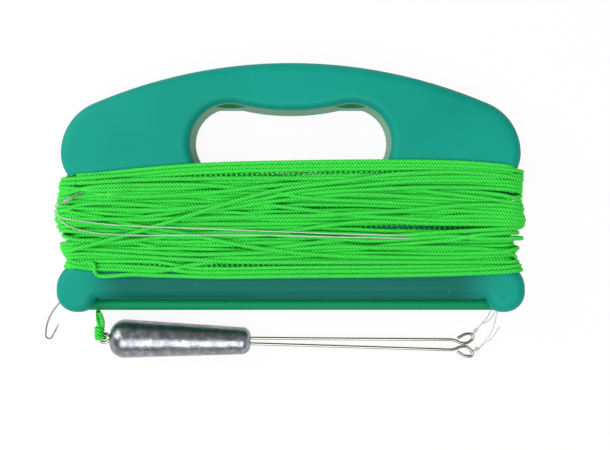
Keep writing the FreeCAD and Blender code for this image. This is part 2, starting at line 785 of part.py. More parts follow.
def sinkerBody():
    """Turned profile of the casting, then the two bores that the wire's legs fill."""
    body = doc.addObject("PartDesign::Body", "sinker_casting")
    sketch = newSketch(body, "sinker_profile", "XY_Plane")
    length = size("sinker_length")
    tailR, noseR = size("sinker_tail_radius"), size("sinker_nose_radius")
    tailRound, noseRound = size("sinker_tail_round"), size("sinker_nose_round")
    taper = sinkerTaper()
    tail = (tailRound, tailR - tailRound)
    nose = (length - noseRound, noseR - noseRound)
    normal = 90 - taper
    fromTail = (
        tail[0] + tailRound * cos(radians(normal)),
        tail[1] + tailRound * sin(radians(normal)),
    )
    toNose = (
        nose[0] + noseRound * cos(radians(normal)),
        nose[1] + noseRound * sin(radians(normal)),
    )
    axis = addLine(sketch, (0, 0), (length, 0))
    noseFace = addLine(sketch, (length, 0), (length, nose[1]))
    noseArc = addArc(sketch, nose, noseRound, 0, normal)
    side = addLine(sketch, toNose, fromTail)
    tailArc = addArc(sketch, tail, tailRound, normal, 180)
    tailFace = addLine(sketch, (0, tail[1]), (0, 0))
    touch(sketch, axis, 2, noseFace, 1)
    smooth(sketch, noseFace, 2, noseArc, 1)
    smooth(sketch, noseArc, 2, side, 1)
    smooth(sketch, side, 2, tailArc, 1)
    smooth(sketch, tailArc, 2, tailFace, 1)
    touch(sketch, tailFace, 2, axis, 1)
    touch(sketch, axis, 1, -1, 1)
    level(sketch, axis)
    upright(sketch, noseFace)
    upright(sketch, tailFace)
    bindAcross(sketch, axis, 2, "Sizes.sinker_length")
    bindRadius(sketch, tailArc, "Sizes.sinker_tail_round")
    bindRadius(sketch, noseArc, "Sizes.sinker_nose_round")
    bindUp(sketch, tailArc, 3, "Sizes.sinker_tail_radius - Sizes.sinker_tail_round")
    bindUp(sketch, noseArc, 3, "Sizes.sinker_nose_radius - Sizes.sinker_nose_round")
    turned = body.newObject("PartDesign::Revolution", "casting")
    turned.Profile = sketch
    turned.ReferenceAxis = (sketch, ["H_Axis"])
    turned.Angle = 360.0
    body.Tip = turned
    doc.recompute()

    bores = feature("leg_bores", tube(wirePoints(), size("wire_diameter") + 2 * size("wire_bore_gap")))
    sinker = cutObject("sinker_body", body, bores)
    sinker.Placement = rigPlacement()
    return sinker


def eyeMiddle():
    """Middle of the eye's outer run, where the line is tied on."""
    return rigPlacement().multVec(vec(-size("eye_length"), 0, 0))


def wrapOuter():
    return size("knot_wrap_radius") + size("line_diameter") / 2


def knotPoint(along):
    """A point on the knot's axis, which passes over the eye and points at the bar."""
    rise = size("wire_diameter") / 2 + wrapOuter() + 0.4
    return eyeMiddle() + vec(knotSide, along, rise)


def knotTop():
    return knotPoint(knotWraps * size("knot_wrap_pitch") + 1.1)


def lineKnot():
    """A loop of the line round the eye, the wraps on top of it, and the cut end beside them."""
    cord = size("line_diameter") / 2
    wire = size("wire_diameter") / 2
    pitch = size("knot_wrap_pitch")
    alongEye = rigPlacement().Rotation.multVec(vec(0, 1, 0))
    loop = Part.makeTorus(wire + cord + 0.05, cord, eyeMiddle(), alongEye)
    towardsBar = vec(0, 1, 0)
    pieces = [
        Part.makeTorus(size("knot_wrap_radius"), cord, knotPoint((i + 0.5) * pitch), towardsBar)
        for i in range(knotWraps)
    ]
    stem = Part.makeCylinder(
        size("knot_wrap_radius"), (knotWraps - 0.6) * pitch, knotPoint(0.3 * pitch), towardsBar
    )
    root = knotPoint((knotWraps - 0.9) * pitch) + vec(1.2, 0, 0)
    bend, end = knotTop() + vec(*tagStart), knotTop() + vec(*tagEnd)
    tag = tube([tuple(root), tuple(bend), tuple(end)], size("line_diameter"))
    solid = loop.fuse(pieces + [stem, tag]).removeSplitter()
    return feature("line_knot", solid)


def lineEnd():
    """The line's free stretch: off the back of the winding, behind the bar, and out to the knot."""
    points = [
        (left(20.3), -41.2, 1.4),
        (left(19.5), -48.6, 1.4),
        (left(17.7), -55.6, 1.4),
        (left(16.3), -62.0, 2.0),
        (left(16.1), -66.2, 6.2),
        (left(18.3), -69.6, 11.6),
        tuple(knotTop()),
    ]
    return feature("line_end", tube(points, size("line_diameter"), name="line_end"))


# Clear snoods. Each runs from its knot on a wire loop, behind the right lobe, round the right end of
# the winding and across the front, to its hook.


def loopTip(heading, side):
    """The point of a wire loop that lies farthest along the heading, and the heading itself."""
    place = rigPlacement()
    heading = place.Rotation.inverted().multVec(vec(*heading))
    heading.z = 0
    path, radii = roundedPath(wirePoints())
    points = [
        p for p in path.discretize(4000) if p.x > size("arm_end_distance") and p.y * side > 0
    ]
    tip = max(points, key=lambda p: p.dot(heading))
    return place.multVec(tip), place.Rotation.multVec(heading.normalize())


def capsule(start, end, diameter):
    radius = diameter / 2
    axis = end - start
    solid = Part.makeCylinder(radius, axis.Length, start, axis)
    balls = [Part.makeSphere(radius, start), Part.makeSphere(radius, end)]
    return solid.fuse(balls).removeSplitter()


def knotSpan(heading, side):
    """Centre of the snood's loop on the wire, and the two ends of the knot above it."""
    tip, out = loopTip(heading, side)
    radius = size("snood_knot_diameter") / 2
    start = tip + out * (size("wire_diameter") / 2 + radius + 0.15)
    return tip, start, tip + out * (size("snood_knot_length") + size("wire_diameter") / 2 - radius)


def snoodKnot(name, heading, side):
    """A turn of the snood round the wire, and the wraps beyond it as one rounded body."""
    cord = size("snood_diameter") / 2
    tip, start, end = knotSpan(heading, side)
    across = (end - start).normalize().cross(rigPlacement().Rotation.multVec(vec(0, 0, 1)))
    ring = Part.makeTorus(size("wire_diameter") / 2 + cord + 0.05, cord, tip, across)
    knot = capsule(start, end, size("snood_knot_diameter"))
    return feature(name, knot.fuse(ring).removeSplitter())


def snoodKnots():
    return [
        snoodKnot("snood_knot_upper", upperKnotHeading, 1),
        snoodKnot("snood_knot_lower", lowerKnotHeading, -1),
    ]


def leaveKnot(heading, side):
    """Where the snood comes out of its knot, a little clear of it."""
    tip, start, end = knotSpan(heading, side)
    return end + (end - start).normalize() * (size("snood_knot_diameter") / 2 + 0.3)


# The stretch behind the right lobe is shared by a snood's two tubes, cut apart at the first point here
upperStowed = [
    (right(5.5), -51.6, 1.2),
    (right(1.9), -45.2, 1.3),
    (right(-0.1), -38.6, 2.8),
    (right(-0.8), -33.4, 7.8),
    (right(-0.8), -29.0, 13.8),
    (right(-0.4), -26.0, 20.4),
    (right(1.7), -24.0, front(-1.0)),
    (right(10.7), -22.7, front(1.2)),
    (right(23.9), -23.8, front(0.6)),
    (71.0, -24.9, front(0.6)),
    (26.0, -23.9, front(0.6)),
    (-20.0, -22.1, front(0.6)),
    (-62.0, -20.6, front(0.6)),
    (left(30.9), -19.4, front(0.6)),
    (left(17.9), -18.0, front(0.7)),
    (left(11.1), -16.9, front(1.0)),
    (left(5.9), -16.0, front(0.6)),
    (left(1.7), -14.9, front(-0.7)),
    (left(-0.3), -12.1, front(-1.3)),
    (left(0.7), -9.3, front(-0.3)),
]

lowerStowed = [
    (right(3.3), -53.2, 1.2),
    (right(0.3), -46.9, 1.2),
    (right(-1.5), -40.6, 2.6),
    (right(-1.9), -35.6, 7.4),
    (right(-1.7), -31.2, 13.4),
    (right(-1.2), -28.1, 20.2),
    (right(1.2), -26.0, front(-1.0)),
    (right(10.3), -24.6, front(1.3)),
    (right(23.9), -25.6, front(0.6)),
    (71.0, -26.3, front(0.6)),
    (26.0, -25.4, front(0.6)),
    (-20.0, -24.3, front(0.6)),
    (-57.0, -24.5, front(0.6)),
    (left(36.9), -24.6, front(0.6)),
    (left(22.9), -23.6, front(0.6)),
    (left(13.9), -22.3, front(0.6)),
    (left(8.3), -20.0, front(0.9)),
    (left(3.5), -16.8, front(-1.5)),
    (left(-0.4), -14.6, 21.8),
    (left(-0.8), -14.8, 15.8),
    (left(-0.6), -18.6, 10.6),
    (left(-0.4), -24.6, 6.4),
    (left(0.1), -31.4, 3.6),
    (left(0.9), -38.2, 1.9),
    (left(1.4), -44.4, 1.3),
]


def splitRoute(route):
    """A point on the route's first run, short of the arc at its end, where the tube is cut in two."""
    first, second = vec(*route[0]), vec(*route[1])
    return first + (second - first) * 0.5


def snoods():
    diameter = size("snood_diameter")
    gap = 0.1
    made = []
    leads = {
        "upper": [
            tuple(leaveKnot(upperKnotHeading, 1)),
            (right(15.3), -69.8, 2.5),
            (right(12.7), -64.8, 1.7),
            (right(9.7), -58.6, 1.2),
        ],
        "lower": [
            tuple(leaveKnot(lowerKnotHeading, -1)),
            (right(15.5), -80.0, 3.6),
            (right(11.9), -75.4, 3.0),
            (right(10.3), -69.2, 2.2),
            (right(8.1), -62.6, 1.4),
        ],
    }
    ends = {
        "upper": hookEntry(parkedHook),
        "lower": hookEntry(looseHook),
    }
    for name, route in (("upper", upperStowed), ("lower", lowerStowed)):
        cut = splitRoute(route)
        along = (vec(*route[1]) - vec(*route[0])).normalize()
        lead = leads[name] + [route[0], tuple(cut - along * gap)]
        stowed = [tuple(cut + along * gap)] + route[1:] + [tuple(ends[name])]
        made.append(feature(f"snood_{name}_lead", tube(lead, diameter, name=f"snood_{name}_lead")))
        made.append(feature(f"snood_{name}", tube(stowed, diameter, name=f"snood_{name}")))
    return made


# Hooks. Each has its own frame: X runs down the shank from the spade, and the point lies on the Y side.


# The parked hook is caught in the front of the winding, the loose one lies on the table.
parkedHook = {"start": (left(5.5), -8.6, front(1.3)), "turn": 31.0, "dip": 5.0, "roll": 180.0}
looseHook = {"start": (left(0.7), -53.8, 0.95), "turn": -128.8, "dip": 1.0, "roll": 0.0}


def hookPlacement(hook):
    heading = FreeCAD.Rotation(vec(0, 0, 1), hook["turn"])
    heading = heading.multiply(FreeCAD.Rotation(vec(0, 1, 0), hook["dip"]))
    heading = heading.multiply(FreeCAD.Rotation(vec(1, 0, 0), hook["roll"]))
    return FreeCAD.Placement(vec(*hook["start"]), heading)


def hookEntry(hook):
    """Where the snood meets the hook, just off the spade and above its face."""
    back = -size("spade_width") / 2 - size("snood_diameter") / 2 - 0.3
    facing = 1 if hook["roll"] == 0 else -1
    return hookPlacement(hook).multVec(vec(back, 0, 0.25 * facing))


def hookWire():
    """Shank, sweep, bend and point as one wire, with a cone at the tip and a spade at the head."""
    wire = size("hook_wire")
    shank = size("hook_shank")
    sweepR = size("hook_sweep_radius")
    bendR = size("hook_bend_radius")
    sweepCentre = vec(shank, sweepR)
    halfSweep, sweep = radians(sweepTurn / 2), radians(sweepTurn)
    sweepMiddle = sweepCentre + vec(sin(halfSweep), -cos(halfSweep)) * sweepR
    sweepEnd = sweepCentre + vec(sin(sweep), -cos(sweep)) * sweepR
    bendCentre = sweepEnd + vec(-sin(sweep), cos(sweep)) * bendR
    halfBend, bend = sweep + radians(bendTurn / 2), sweep + radians(bendTurn)
    bendMiddle = bendCentre + vec(sin(halfBend), -cos(halfBend)) * bendR
    bendEnd = bendCentre + vec(sin(bend), -cos(bend)) * bendR
    heading = vec(cos(bend), sin(bend))
    tipStart = bendEnd + heading * (size("hook_point") - size("hook_tip"))
    path = Part.Wire([
        Part.LineSegment(vec(0, 0), vec(shank, 0)).toShape(),
        Part.Arc(vec(shank, 0), sweepMiddle, sweepEnd).toShape(),
        Part.Arc(sweepEnd, bendMiddle, bendEnd).toShape(),
        Part.LineSegment(bendEnd, tipStart).toShape(),
    ])
    ring = Part.Wire(Part.makeCircle(wire / 2, vec(0, 0), vec(1, 0)))
    shaft = path.makePipeShell([ring], True, False)
    tip = Part.makeCone(wire / 2, wire / 16, size("hook_tip"), tipStart, heading)
    spade = Part.makeCylinder(
        size("spade_width") / 2, size("spade_thickness"), vec(0, 0, -size("spade_thickness") / 2)
    )
    return shaft.fuse([tip, spade]).removeSplitter()


def whipping():
    """The snood's turns round the shank, as one sleeve that just clears the wire."""
    start = vec(size("whipping_start"), 0)
    length = size("whipping_length")
    sleeve = Part.makeCylinder(size("whipping_diameter") / 2, length, start, vec(1, 0))
    bore = Part.makeCylinder(size("hook_wire") / 2 + size("wire_bore_gap"), length, start, vec(1, 0))
    return sleeve.cut(bore)


def hooks():
    made = []
    for name, hook in (("upper", parkedHook), ("lower", looseHook)):
        place = hookPlacement(hook)
        for label, shape in ((f"hook_{name}", hookWire()), (f"hook_whipping_{name}", whipping())):
            item = feature(label, shape)
            item.Placement = place
            made.append(item)
    return made


# Build, check and export


def checkObjects():
    for item in doc.Objects:
        if "Invalid" in item.State or "Error" in item.State:
            raise RuntimeError(f"{item.Label}: {item.State}")


def checkShape(node):
    shape = node.Shape
    if shape.isNull() or not shape.isValid() or len(shape.Solids) != 1:
        raise RuntimeError(f"{node.Label}: not one valid solid")


def build():
    nodes = [winderFrame(), lineWinding(), lineEnd(), lineKnot(), sinkerBody(), spreaderWire()]
    nodes += snoodKnots()
    nodes += snoods()
    nodes += hooks()
    doc.recompute()
    checkObjects()
    for node in nodes:
        checkShape(node)
    os.makedirs("parts", exist_ok=True)
    for node in nodes:
        node.Shape.exportStep(f"parts/{node.Label}.step")
        box = node.Shape.BoundBox
        print(
            f"{node.Label}: {node.Shape.Volume:.1f} mm3,"
            f" X {box.XMin:.1f} to {box.XMax:.1f},"
            f" Y {box.YMin:.1f} to {box.YMax:.1f},"
            f" Z {box.ZMin:.2f} to {box.ZMax:.2f}"
        )
    joints = {
        "knot top": knotTop(),
        "eye": eyeMiddle(),
        "eye direction": rigPlacement().Rotation.multVec(vec(0, 1, 0)),
        "loose hook": hookEntry(looseHook),
    }
    for name, point in joints.items():
        print(f"{name}: {point.x:.3f}, {point.y:.3f}, {point.z:.3f}")
    print(f"{len(nodes)} parts")


build()
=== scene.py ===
import math

import bpy
import numpy as np
from mathutils import Matrix, Vector


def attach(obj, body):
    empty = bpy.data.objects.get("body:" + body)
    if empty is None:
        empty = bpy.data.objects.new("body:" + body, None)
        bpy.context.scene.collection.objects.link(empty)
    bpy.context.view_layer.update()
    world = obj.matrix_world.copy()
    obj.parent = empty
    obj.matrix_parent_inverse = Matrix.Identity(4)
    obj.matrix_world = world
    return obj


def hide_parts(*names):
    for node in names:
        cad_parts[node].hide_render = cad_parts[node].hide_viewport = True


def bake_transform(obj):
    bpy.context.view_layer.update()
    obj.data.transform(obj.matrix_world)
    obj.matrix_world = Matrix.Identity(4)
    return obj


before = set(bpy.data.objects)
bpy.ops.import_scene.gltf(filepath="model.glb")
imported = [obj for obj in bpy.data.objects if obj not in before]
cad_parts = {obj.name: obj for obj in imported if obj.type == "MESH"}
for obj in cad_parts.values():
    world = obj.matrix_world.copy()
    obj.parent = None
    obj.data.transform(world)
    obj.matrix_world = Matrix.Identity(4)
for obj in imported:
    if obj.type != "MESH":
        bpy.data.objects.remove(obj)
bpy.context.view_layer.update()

mm = 0.001
fullTurn = 2 * math.pi
print("frame loaded")


def settle(piece, body):
    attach(piece, body)


def newObject(name, mesh, material):
    mesh.materials.append(material)
    piece = bpy.data.objects.new(name, mesh)
    bpy.context.scene.collection.objects.link(piece)
    return piece


# sRGB hex to the linear colour that a socket takes
def linear(code):
    parts = [int(code[i:i + 2], 16) / 255 for i in (0, 2, 4)]
    return [c / 12.92 if c <= 0.04045 else ((c + 0.055) / 1.055) ** 2.4 for c in parts] + [1.0]


def newMaterial(name):
    material = bpy.data.materials.new(name)
    material.use_nodes = True
    return material, material.node_tree.nodes["Principled BSDF"]


# an input takes a number, a colour, or another node's output
def fill(material, node, inputs):
    for key, source in inputs.items():
        if isinstance(source, bpy.types.NodeSocket):
            material.node_tree.links.new(source, node.inputs[key])
        else:
            node.inputs[key].default_value = source


def addNode(material, kind, inputs, stops=(), **settings):
    node = material.node_tree.nodes.new(kind)
    for key, setting in settings.items():
        setattr(node, key, setting)
    fill(material, node, inputs)
    for i, (position, code) in enumerate(stops):
        if i > 1:  # a new ramp comes with two stops
            node.color_ramp.elements.new(1.0)
        node.color_ramp.elements[i].position = position
        node.color_ramp.elements[i].color = linear(code)
    return node


# Camera and studio

camera = {"x": 7.22 * mm, "y": -19.35 * mm, "height": 394.8 * mm, "lens": 43.55}
studio = {
    "floorSize": 24.0,
    "floorDrop": 0.2 * mm,
    "wallHeight": 4.0,
    "floorGlow": 0.93,
    "worldStrength": 0.3,
    "softboxes": [
        {"name": "frontSoftbox", "place": (0.0, -0.45, 1.08), "size": 0.8, "power": 8.4},
        {"name": "leftSoftbox", "place": (-0.85, 0.4, 0.75), "size": 0.7, "power": 7.4},
    ],
}


def placeCamera():
    data = bpy.data.cameras.new("camera")
    data.lens = camera["lens"]
    data.sensor_width = 36
    data.clip_start = 0.01
    eye = bpy.data.objects.new("camera", data)
    eye.location = (camera["x"], camera["y"], camera["height"])
    bpy.context.scene.collection.objects.link(eye)
    bpy.context.scene.camera = eye


def addSoftbox(softbox):
    data = bpy.data.lights.new(softbox["name"], "AREA")
    data.shape = "SQUARE"
    data.size = softbox["size"]
    data.energy = softbox["power"]
    lamp = bpy.data.objects.new(softbox["name"], data)
    lamp.location = softbox["place"]
    lamp.rotation_euler = (-Vector(softbox["place"])).to_track_quat("-Z", "Y").to_euler()
    bpy.context.scene.collection.objects.link(lamp)


# matte white paper: it takes the object's shadow, and looks nearly white directly, in reflections
# and through clear line
def paleFloorPaint():
    material, paper = newMaterial("paleFloorPaint")
    fill(material, paper, {"Base Color": linear("F8F8F6"), "Roughness": 0.9, "Specular IOR Level": 0.1})
    path = addNode(material, "ShaderNodeLightPath", {})
    seen = path.outputs["Is Camera Ray"]
    for ray in ("Is Glossy Ray", "Is Transmission Ray"):
        either = addNode(material, "ShaderNodeMath", {0: seen, 1: path.outputs[ray]}, operation="MAXIMUM")
        seen = either.outputs[0]
    share = addNode(material, "ShaderNodeMath", {0: seen, 1: studio["floorGlow"]}, operation="MULTIPLY")
    glow = addNode(material, "ShaderNodeEmission", {"Color": linear("FFFFFF"), "Strength": 1.0})
    mixed = addNode(
        material, "ShaderNodeMixShader", {0: share.outputs[0], 1: paper.outputs[0], 2: glow.outputs[0]}
    )
    fill(material, material.node_tree.nodes["Material Output"], {"Surface": mixed.outputs[0]})
    return material


def buildStudio():
    # a wide floor whose edges are extruded up into low walls, so no view sees past it
    bpy.ops.object.select_all(action="DESELECT")
    bpy.ops.mesh.primitive_plane_add(size=studio["floorSize"], location=(0, 0, -studio["floorDrop"]))
    floor = bpy.context.object
    floor.name = "floor"
    bpy.ops.object.mode_set(mode="EDIT")
    bpy.ops.mesh.select_mode(type="EDGE")
    bpy.ops.mesh.select_all(action="SELECT")
    bpy.ops.mesh.extrude_edges_move(TRANSFORM_OT_translate={"value": (0, 0, studio["wallHeight"])})
    bpy.ops.object.mode_set(mode="OBJECT")
    bpy.ops.object.transform_apply(location=True, rotation=True, scale=True)
    floor.data.materials.append(paleFloorPaint())
    world = bpy.data.worlds.new("studio")
    world.use_nodes = True
    world.node_tree.nodes["Background"].inputs["Color"].default_value = linear("FFFFFF")
    world.node_tree.nodes["Background"].inputs["Strength"].default_value = studio["worldStrength"]
    bpy.context.scene.world = world
    for softbox in studio["softboxes"]:
        addSoftbox(softbox)
    bpy.context.scene.view_settings.view_transform = "Standard"


placeCamera()
buildStudio()
print("camera and studio set")

# Finishes

# The frame's tints: its own colour and dust, with painted shade, painted light and painted reflection. A
# zone's colour fades in between two values of each measure that it names:
# side is the distance to the left or right of the middle, y and z are the object's own, slant is
# even along the lines where the lobes cut the rail, all in metres, and speck is nought in the
# middle of a speck of dust.
barLimits = [("y", -0.040, -0.046), ("side", 0.108, 0.082)]
openingLimits = [("side", 0.0545, 0.0535), ("y", 0.0445, 0.0440)]
frameTints = {
    "clouds": [(0.35, "069280"), (0.65, "0A9A88")],
    "slant": 0.62,
    "specksPerMetre": 160.0,
    "zones": [
        # painted shade: the bar is coloured darker where the winding keeps light off it
        {"on": "bar", "colour": "02685C", "share": 1.0, "limits": barLimits},
        # painted light: the rail's greener colour stands in for light shining through its thin plastic
        {"on": "rail", "colour": "048C58", "share": 1.0,
         "limits": [("y", -0.0570, -0.0577), ("slant", 0.0637, 0.0631)]},
        # partly painted reflection: the pale tint on the opening's wall stands in for the white surroundings
        # it reflects at grazing angles, together with the paler trimmed face
        {"on": "scraped wall and painted reflection", "colour": "E2DCC2", "share": 0.3,
         "limits": openingLimits + [("z", 0.0208, 0.0204), ("y", 0.0005, 0.0010)]},
        # painted shade: dark green on the wall under the finger lobes, where shade falls
        {"on": "painted shade under the finger lobes", "colour": "007A4C", "share": 1.0,
         "limits": openingLimits + [("z", 0.0200, 0.0196), ("y", 0.0405, 0.0410)]},
        {"on": "dust", "colour": "B8D8C8", "share": 0.5, "limits": barLimits + [("speck", 0.045, 0.03)]},
    ],
}


# blow-moulded polyethylene: waxy and softly glossy, with painted shade that darkens the bar and the wall
# under the finger lobes, painted light that makes the thin rail greener, a pale painted reflection together
# with the paler trimmed face on the opening's wall, streaks of handling and a faint ripple from the mould
def mouldedPolyethylene():
    material, wax = newMaterial("mouldedPolyethylene")
    place = addNode(material, "ShaderNodeTexCoord", {}).outputs["Object"]
    split = addNode(material, "ShaderNodeSeparateXYZ", {"Vector": place}).outputs
    side = addNode(material, "ShaderNodeMath", {0: split["X"]}, operation="ABSOLUTE").outputs[0]
    slant = addNode(
        material, "ShaderNodeMath", {0: split["Y"], 1: frameTints["slant"], 2: side},
        operation="MULTIPLY_ADD",
    )
    specks = addNode(
        material, "ShaderNodeTexVoronoi", {"Vector": place, "Scale": frameTints["specksPerMetre"]}
    )
    measures = {
        "side": side, "y": split["Y"], "z": split["Z"],
        "slant": slant.outputs[0], "speck": specks.outputs["Distance"],
    }
    clouds = addNode(material, "ShaderNodeTexNoise", {"Vector": place, "Scale": 18.0, "Detail": 2.0})
    ramp = addNode(material, "ShaderNodeValToRGB", {"Fac": clouds.outputs["Fac"]}, frameTints["clouds"])
    colour = ramp.outputs["Color"]
    for zone in frameTints["zones"]:
        share = zone["share"]
        for measure, start, end in zone["limits"]:
            inside = addNode(
                material, "ShaderNodeMapRange",
                {"Value": measures[measure], "From Min": start, "From Max": end},
                interpolation_type="SMOOTHSTEP",
            )
            both = addNode(material, "ShaderNodeMath", {0: share, 1: inside.outputs[0]}, operation="MULTIPLY")
            share = both.outputs[0]
        mixed = addNode(
            material, "ShaderNodeMix", {0: share, 6: colour, 7: linear(zone["colour"])},
            data_type="RGBA", label=zone["on"],
        )
        colour = mixed.outputs[2]
    streaks = addNode(material, "ShaderNodeMapping", {"Vector": place, "Scale": (14.0, 420.0, 30.0)})
    brushed = addNode(material, "ShaderNodeTexNoise", {"Vector": streaks.outputs["Vector"], "Scale": 1.0})
    rough = addNode(
        material, "ShaderNodeMapRange", {"Value": brushed.outputs["Fac"], "To Min": 0.42, "To Max": 0.56}
    )
    ripple = addNode(material, "ShaderNodeTexNoise", {"Vector": place, "Scale": 220.0, "Detail": 3.0})
    bump = addNode(
        material, "ShaderNodeBump", {"Strength": 0.12, "Distance": 0.4 * mm, "Height": ripple.outputs["Fac"]}
    )
    fill(material, wax, {
        "Base Color": colour, "Roughness": rough.outputs[0], "Normal": bump.outputs["Normal"],
        "IOR": 1.54, "Specular IOR Level": 0.12,
    })
    return material


# three-strand polyethylene line: bright strands of fine fibre, with painted shade darkening the grooves
# between them and a painted highlight on the strands' crowns. The
# UV map runs along the line in metres and once round it.
def twistedPolyLine():
    material, fibre = newMaterial("twistedPolyLine")
    lay = addNode(material, "ShaderNodeUVMap", {}, uv_map="lay").outputs["UV"]
    split = addNode(material, "ShaderNodeSeparateXYZ", {"Vector": lay})
    around = addNode(
        material, "ShaderNodeMath", {0: split.outputs["Y"], 1: 3 * fullTurn}, operation="MULTIPLY"
    )
    wave = addNode(material, "ShaderNodeMath", {0: around.outputs[0]}, operation="COSINE")
    crownHeightAndShade = addNode(
        material, "ShaderNodeMapRange", {"Value": wave.outputs[0], "From Min": -1.0, "From Max": 1.0}
    )
    stretch = addNode(material, "ShaderNodeMapping", {"Vector": lay, "Scale": (900.0, 60.0, 1.0)})
    fibres = addNode(
        material, "ShaderNodeTexNoise", {"Vector": stretch.outputs["Vector"], "Scale": 1.0, "Detail": 2.0}
    )
    height = addNode(
        material, "ShaderNodeMath", {0: fibres.outputs["Fac"], 1: 0.5, 2: crownHeightAndShade.outputs[0]},
        operation="MULTIPLY_ADD",
    )
    # painted shade and painted highlight: the colour runs from dark in the grooves to light on the crowns
    tint = addNode(
        material, "ShaderNodeValToRGB", {"Fac": height.outputs[0]},
        [(0.25, "06A81A"), (0.65, "14E02C"), (1.0, "48F658")],
    )
    bump = addNode(
        material, "ShaderNodeBump", {"Strength": 0.5, "Distance": 0.15 * mm, "Height": height.outputs[0]}
    )
    fill(material, fibre, {
        "Base Color": tint.outputs["Color"], "Normal": bump.outputs["Normal"], "Roughness": 0.5, "IOR": 1.5,
    })
    return material


# lead cast in an open mould: grey metal with fine pits, worn bright by handling
def castLead():
    material, lead = newMaterial("castLead")
    place = addNode(material, "ShaderNodeTexCoord", {}).outputs["Object"]
    clouds = addNode(material, "ShaderNodeTexNoise", {"Vector": place, "Scale": 260.0, "Detail": 6.0})
    tint = addNode(
        material, "ShaderNodeValToRGB", {"Fac": clouds.outputs["Fac"]},
        [(0.35, "808488"), (0.5, "8E9196"), (0.65, "A4A8AC")],
    )
    pits = addNode(material, "ShaderNodeTexNoise", {"Vector": place, "Scale": 1300.0, "Detail": 5.0})
    depth = addNode(
        material, "ShaderNodeValToRGB", {"Fac": pits.outputs["Fac"]}, [(0.34, "000000"), (0.5, "FFFFFF")]
    )
    bump = addNode(
        material, "ShaderNodeBump",
        {"Strength": 0.35, "Distance": 0.14 * mm, "Height": depth.outputs["Color"]},
    )
    fill(material, lead, {
        "Base Color": tint.outputs["Color"], "Normal": bump.outputs["Normal"],
        "Metallic": 1.0, "Roughness": 0.25,
    })
    return material


# drawn stainless wire: bright, with fine lines left by the die
def drawnSteel():
    material, steel = newMaterial("drawnSteel")
    place = addNode(material, "ShaderNodeTexCoord", {}).outputs["Object"]
    lines = addNode(material, "ShaderNodeMapping", {"Vector": place, "Scale": (60.0, 2500.0, 2500.0)})
    grain = addNode(material, "ShaderNodeTexNoise", {"Vector": lines.outputs["Vector"], "Scale": 1.0})
    rough = addNode(
        material, "ShaderNodeMapRange", {"Value": grain.outputs["Fac"], "To Min": 0.12, "To Max": 0.2}
    )
    fill(material, steel, {
        "Base Color": linear("A8A89C"), "Metallic": 1.0, "Roughness": rough.outputs[0],
    })
    return material


# tinned hook wire: a thin grey coat with small dull patches
def tinnedHookSteel():
    material, tin = newMaterial("tinnedHookSteel")
    place = addNode(material, "ShaderNodeTexCoord", {}).outputs["Object"]
    patches = addNode(material, "ShaderNodeTexNoise", {"Vector": place, "Scale": 900.0, "Detail": 3.0})
    tint = addNode(
        material, "ShaderNodeValToRGB", {"Fac": patches.outputs["Fac"]}, [(0.4, "76746A"), (0.6, "928E84")]
    )
    fill(material, tin, {"Base Color": tint.outputs["Color"], "Metallic": 1.0, "Roughness": 0.42})
    return material


# clear nylon monofilament: glassy and a little milky, with soft highlights
def clearMonofilament():
    material, nylon = newMaterial("clearMonofilament")
    place = addNode(material, "ShaderNodeTexCoord", {}).outputs["Object"]
    haze = addNode(material, "ShaderNodeTexNoise", {"Vector": place, "Scale": 400.0, "Detail": 2.0})
    tint = addNode(
        material, "ShaderNodeValToRGB", {"Fac": haze.outputs["Fac"]}, [(0.3, "E4EAE6"), (0.7, "F4F8F4")]
    )
    fill(material, nylon, {
        "Base Color": tint.outputs["Color"], "Roughness": 0.15, "IOR": 1.53, "Transmission Weight": 0.5,
    })
    return material


frameFinish = mouldedPolyethylene()
lineFinish = twistedPolyLine()
leadFinish = castLead()
wireFinish = drawnSteel()
hookFinish = tinnedHookSteel()
snoodFinish = clearMonofilament()
print("finishes ready")

# Cords. A route is a row of control points for the smooth spline that the cord follows.


def splinePoints(route):
    curve = bpy.data.curves.new("route", "CURVE")
    curve.dimensions = "3D"
    curve.resolution_u = 8
    spline = curve.splines.new("NURBS")
    spline.points.add(len(route) - 1)
    for point, place in zip(spline.points, route):
        point.co = (*place, 1.0)
    spline.order_u = 3
    spline.use_endpoint_u = True
    holder = bpy.data.objects.new("route", curve)
    mesh = bpy.data.meshes.new_from_object(holder)
    points = np.zeros(len(mesh.vertices) * 3)
    mesh.vertices.foreach_get("co", points)
    bpy.data.objects.remove(holder)
    bpy.data.curves.remove(curve)
    bpy.data.meshes.remove(mesh)
    return points.reshape(-1, 3)


# the spline as points about a step apart, with the distance travelled at each
def evenSteps(route, step):
    points = splinePoints(route)
    travelled = np.concatenate([[0], np.cumsum(np.linalg.norm(np.diff(points, axis=0), axis=1))])
    count = max(4, int(round(travelled[-1] / step)) + 1)
    at = np.linspace(0, travelled[-1], count)
    return np.stack([np.interp(at, travelled, points[:, i]) for i in range(3)], axis=1), at


# two directions across the line at each point, carried along it without twisting
def carriedFrames(points):
    ahead = np.gradient(points, axis=0)
    ahead /= np.linalg.norm(ahead, axis=1)[:, None]
    across = np.zeros_like(points)
    start = np.cross(ahead[0], (0.0, 0.0, 1.0))
    if np.linalg.norm(start) < 0.1:  # the line starts upright
        start = np.cross(ahead[0], (0.0, 1.0, 0.0))
    across[0] = start / np.linalg.norm(start)
    for i in range(1, len(points)):
        carried = across[i - 1] - ahead[i] * np.dot(across[i - 1], ahead[i])
        across[i] = carried / np.linalg.norm(carried)
    return across, np.cross(ahead, across)


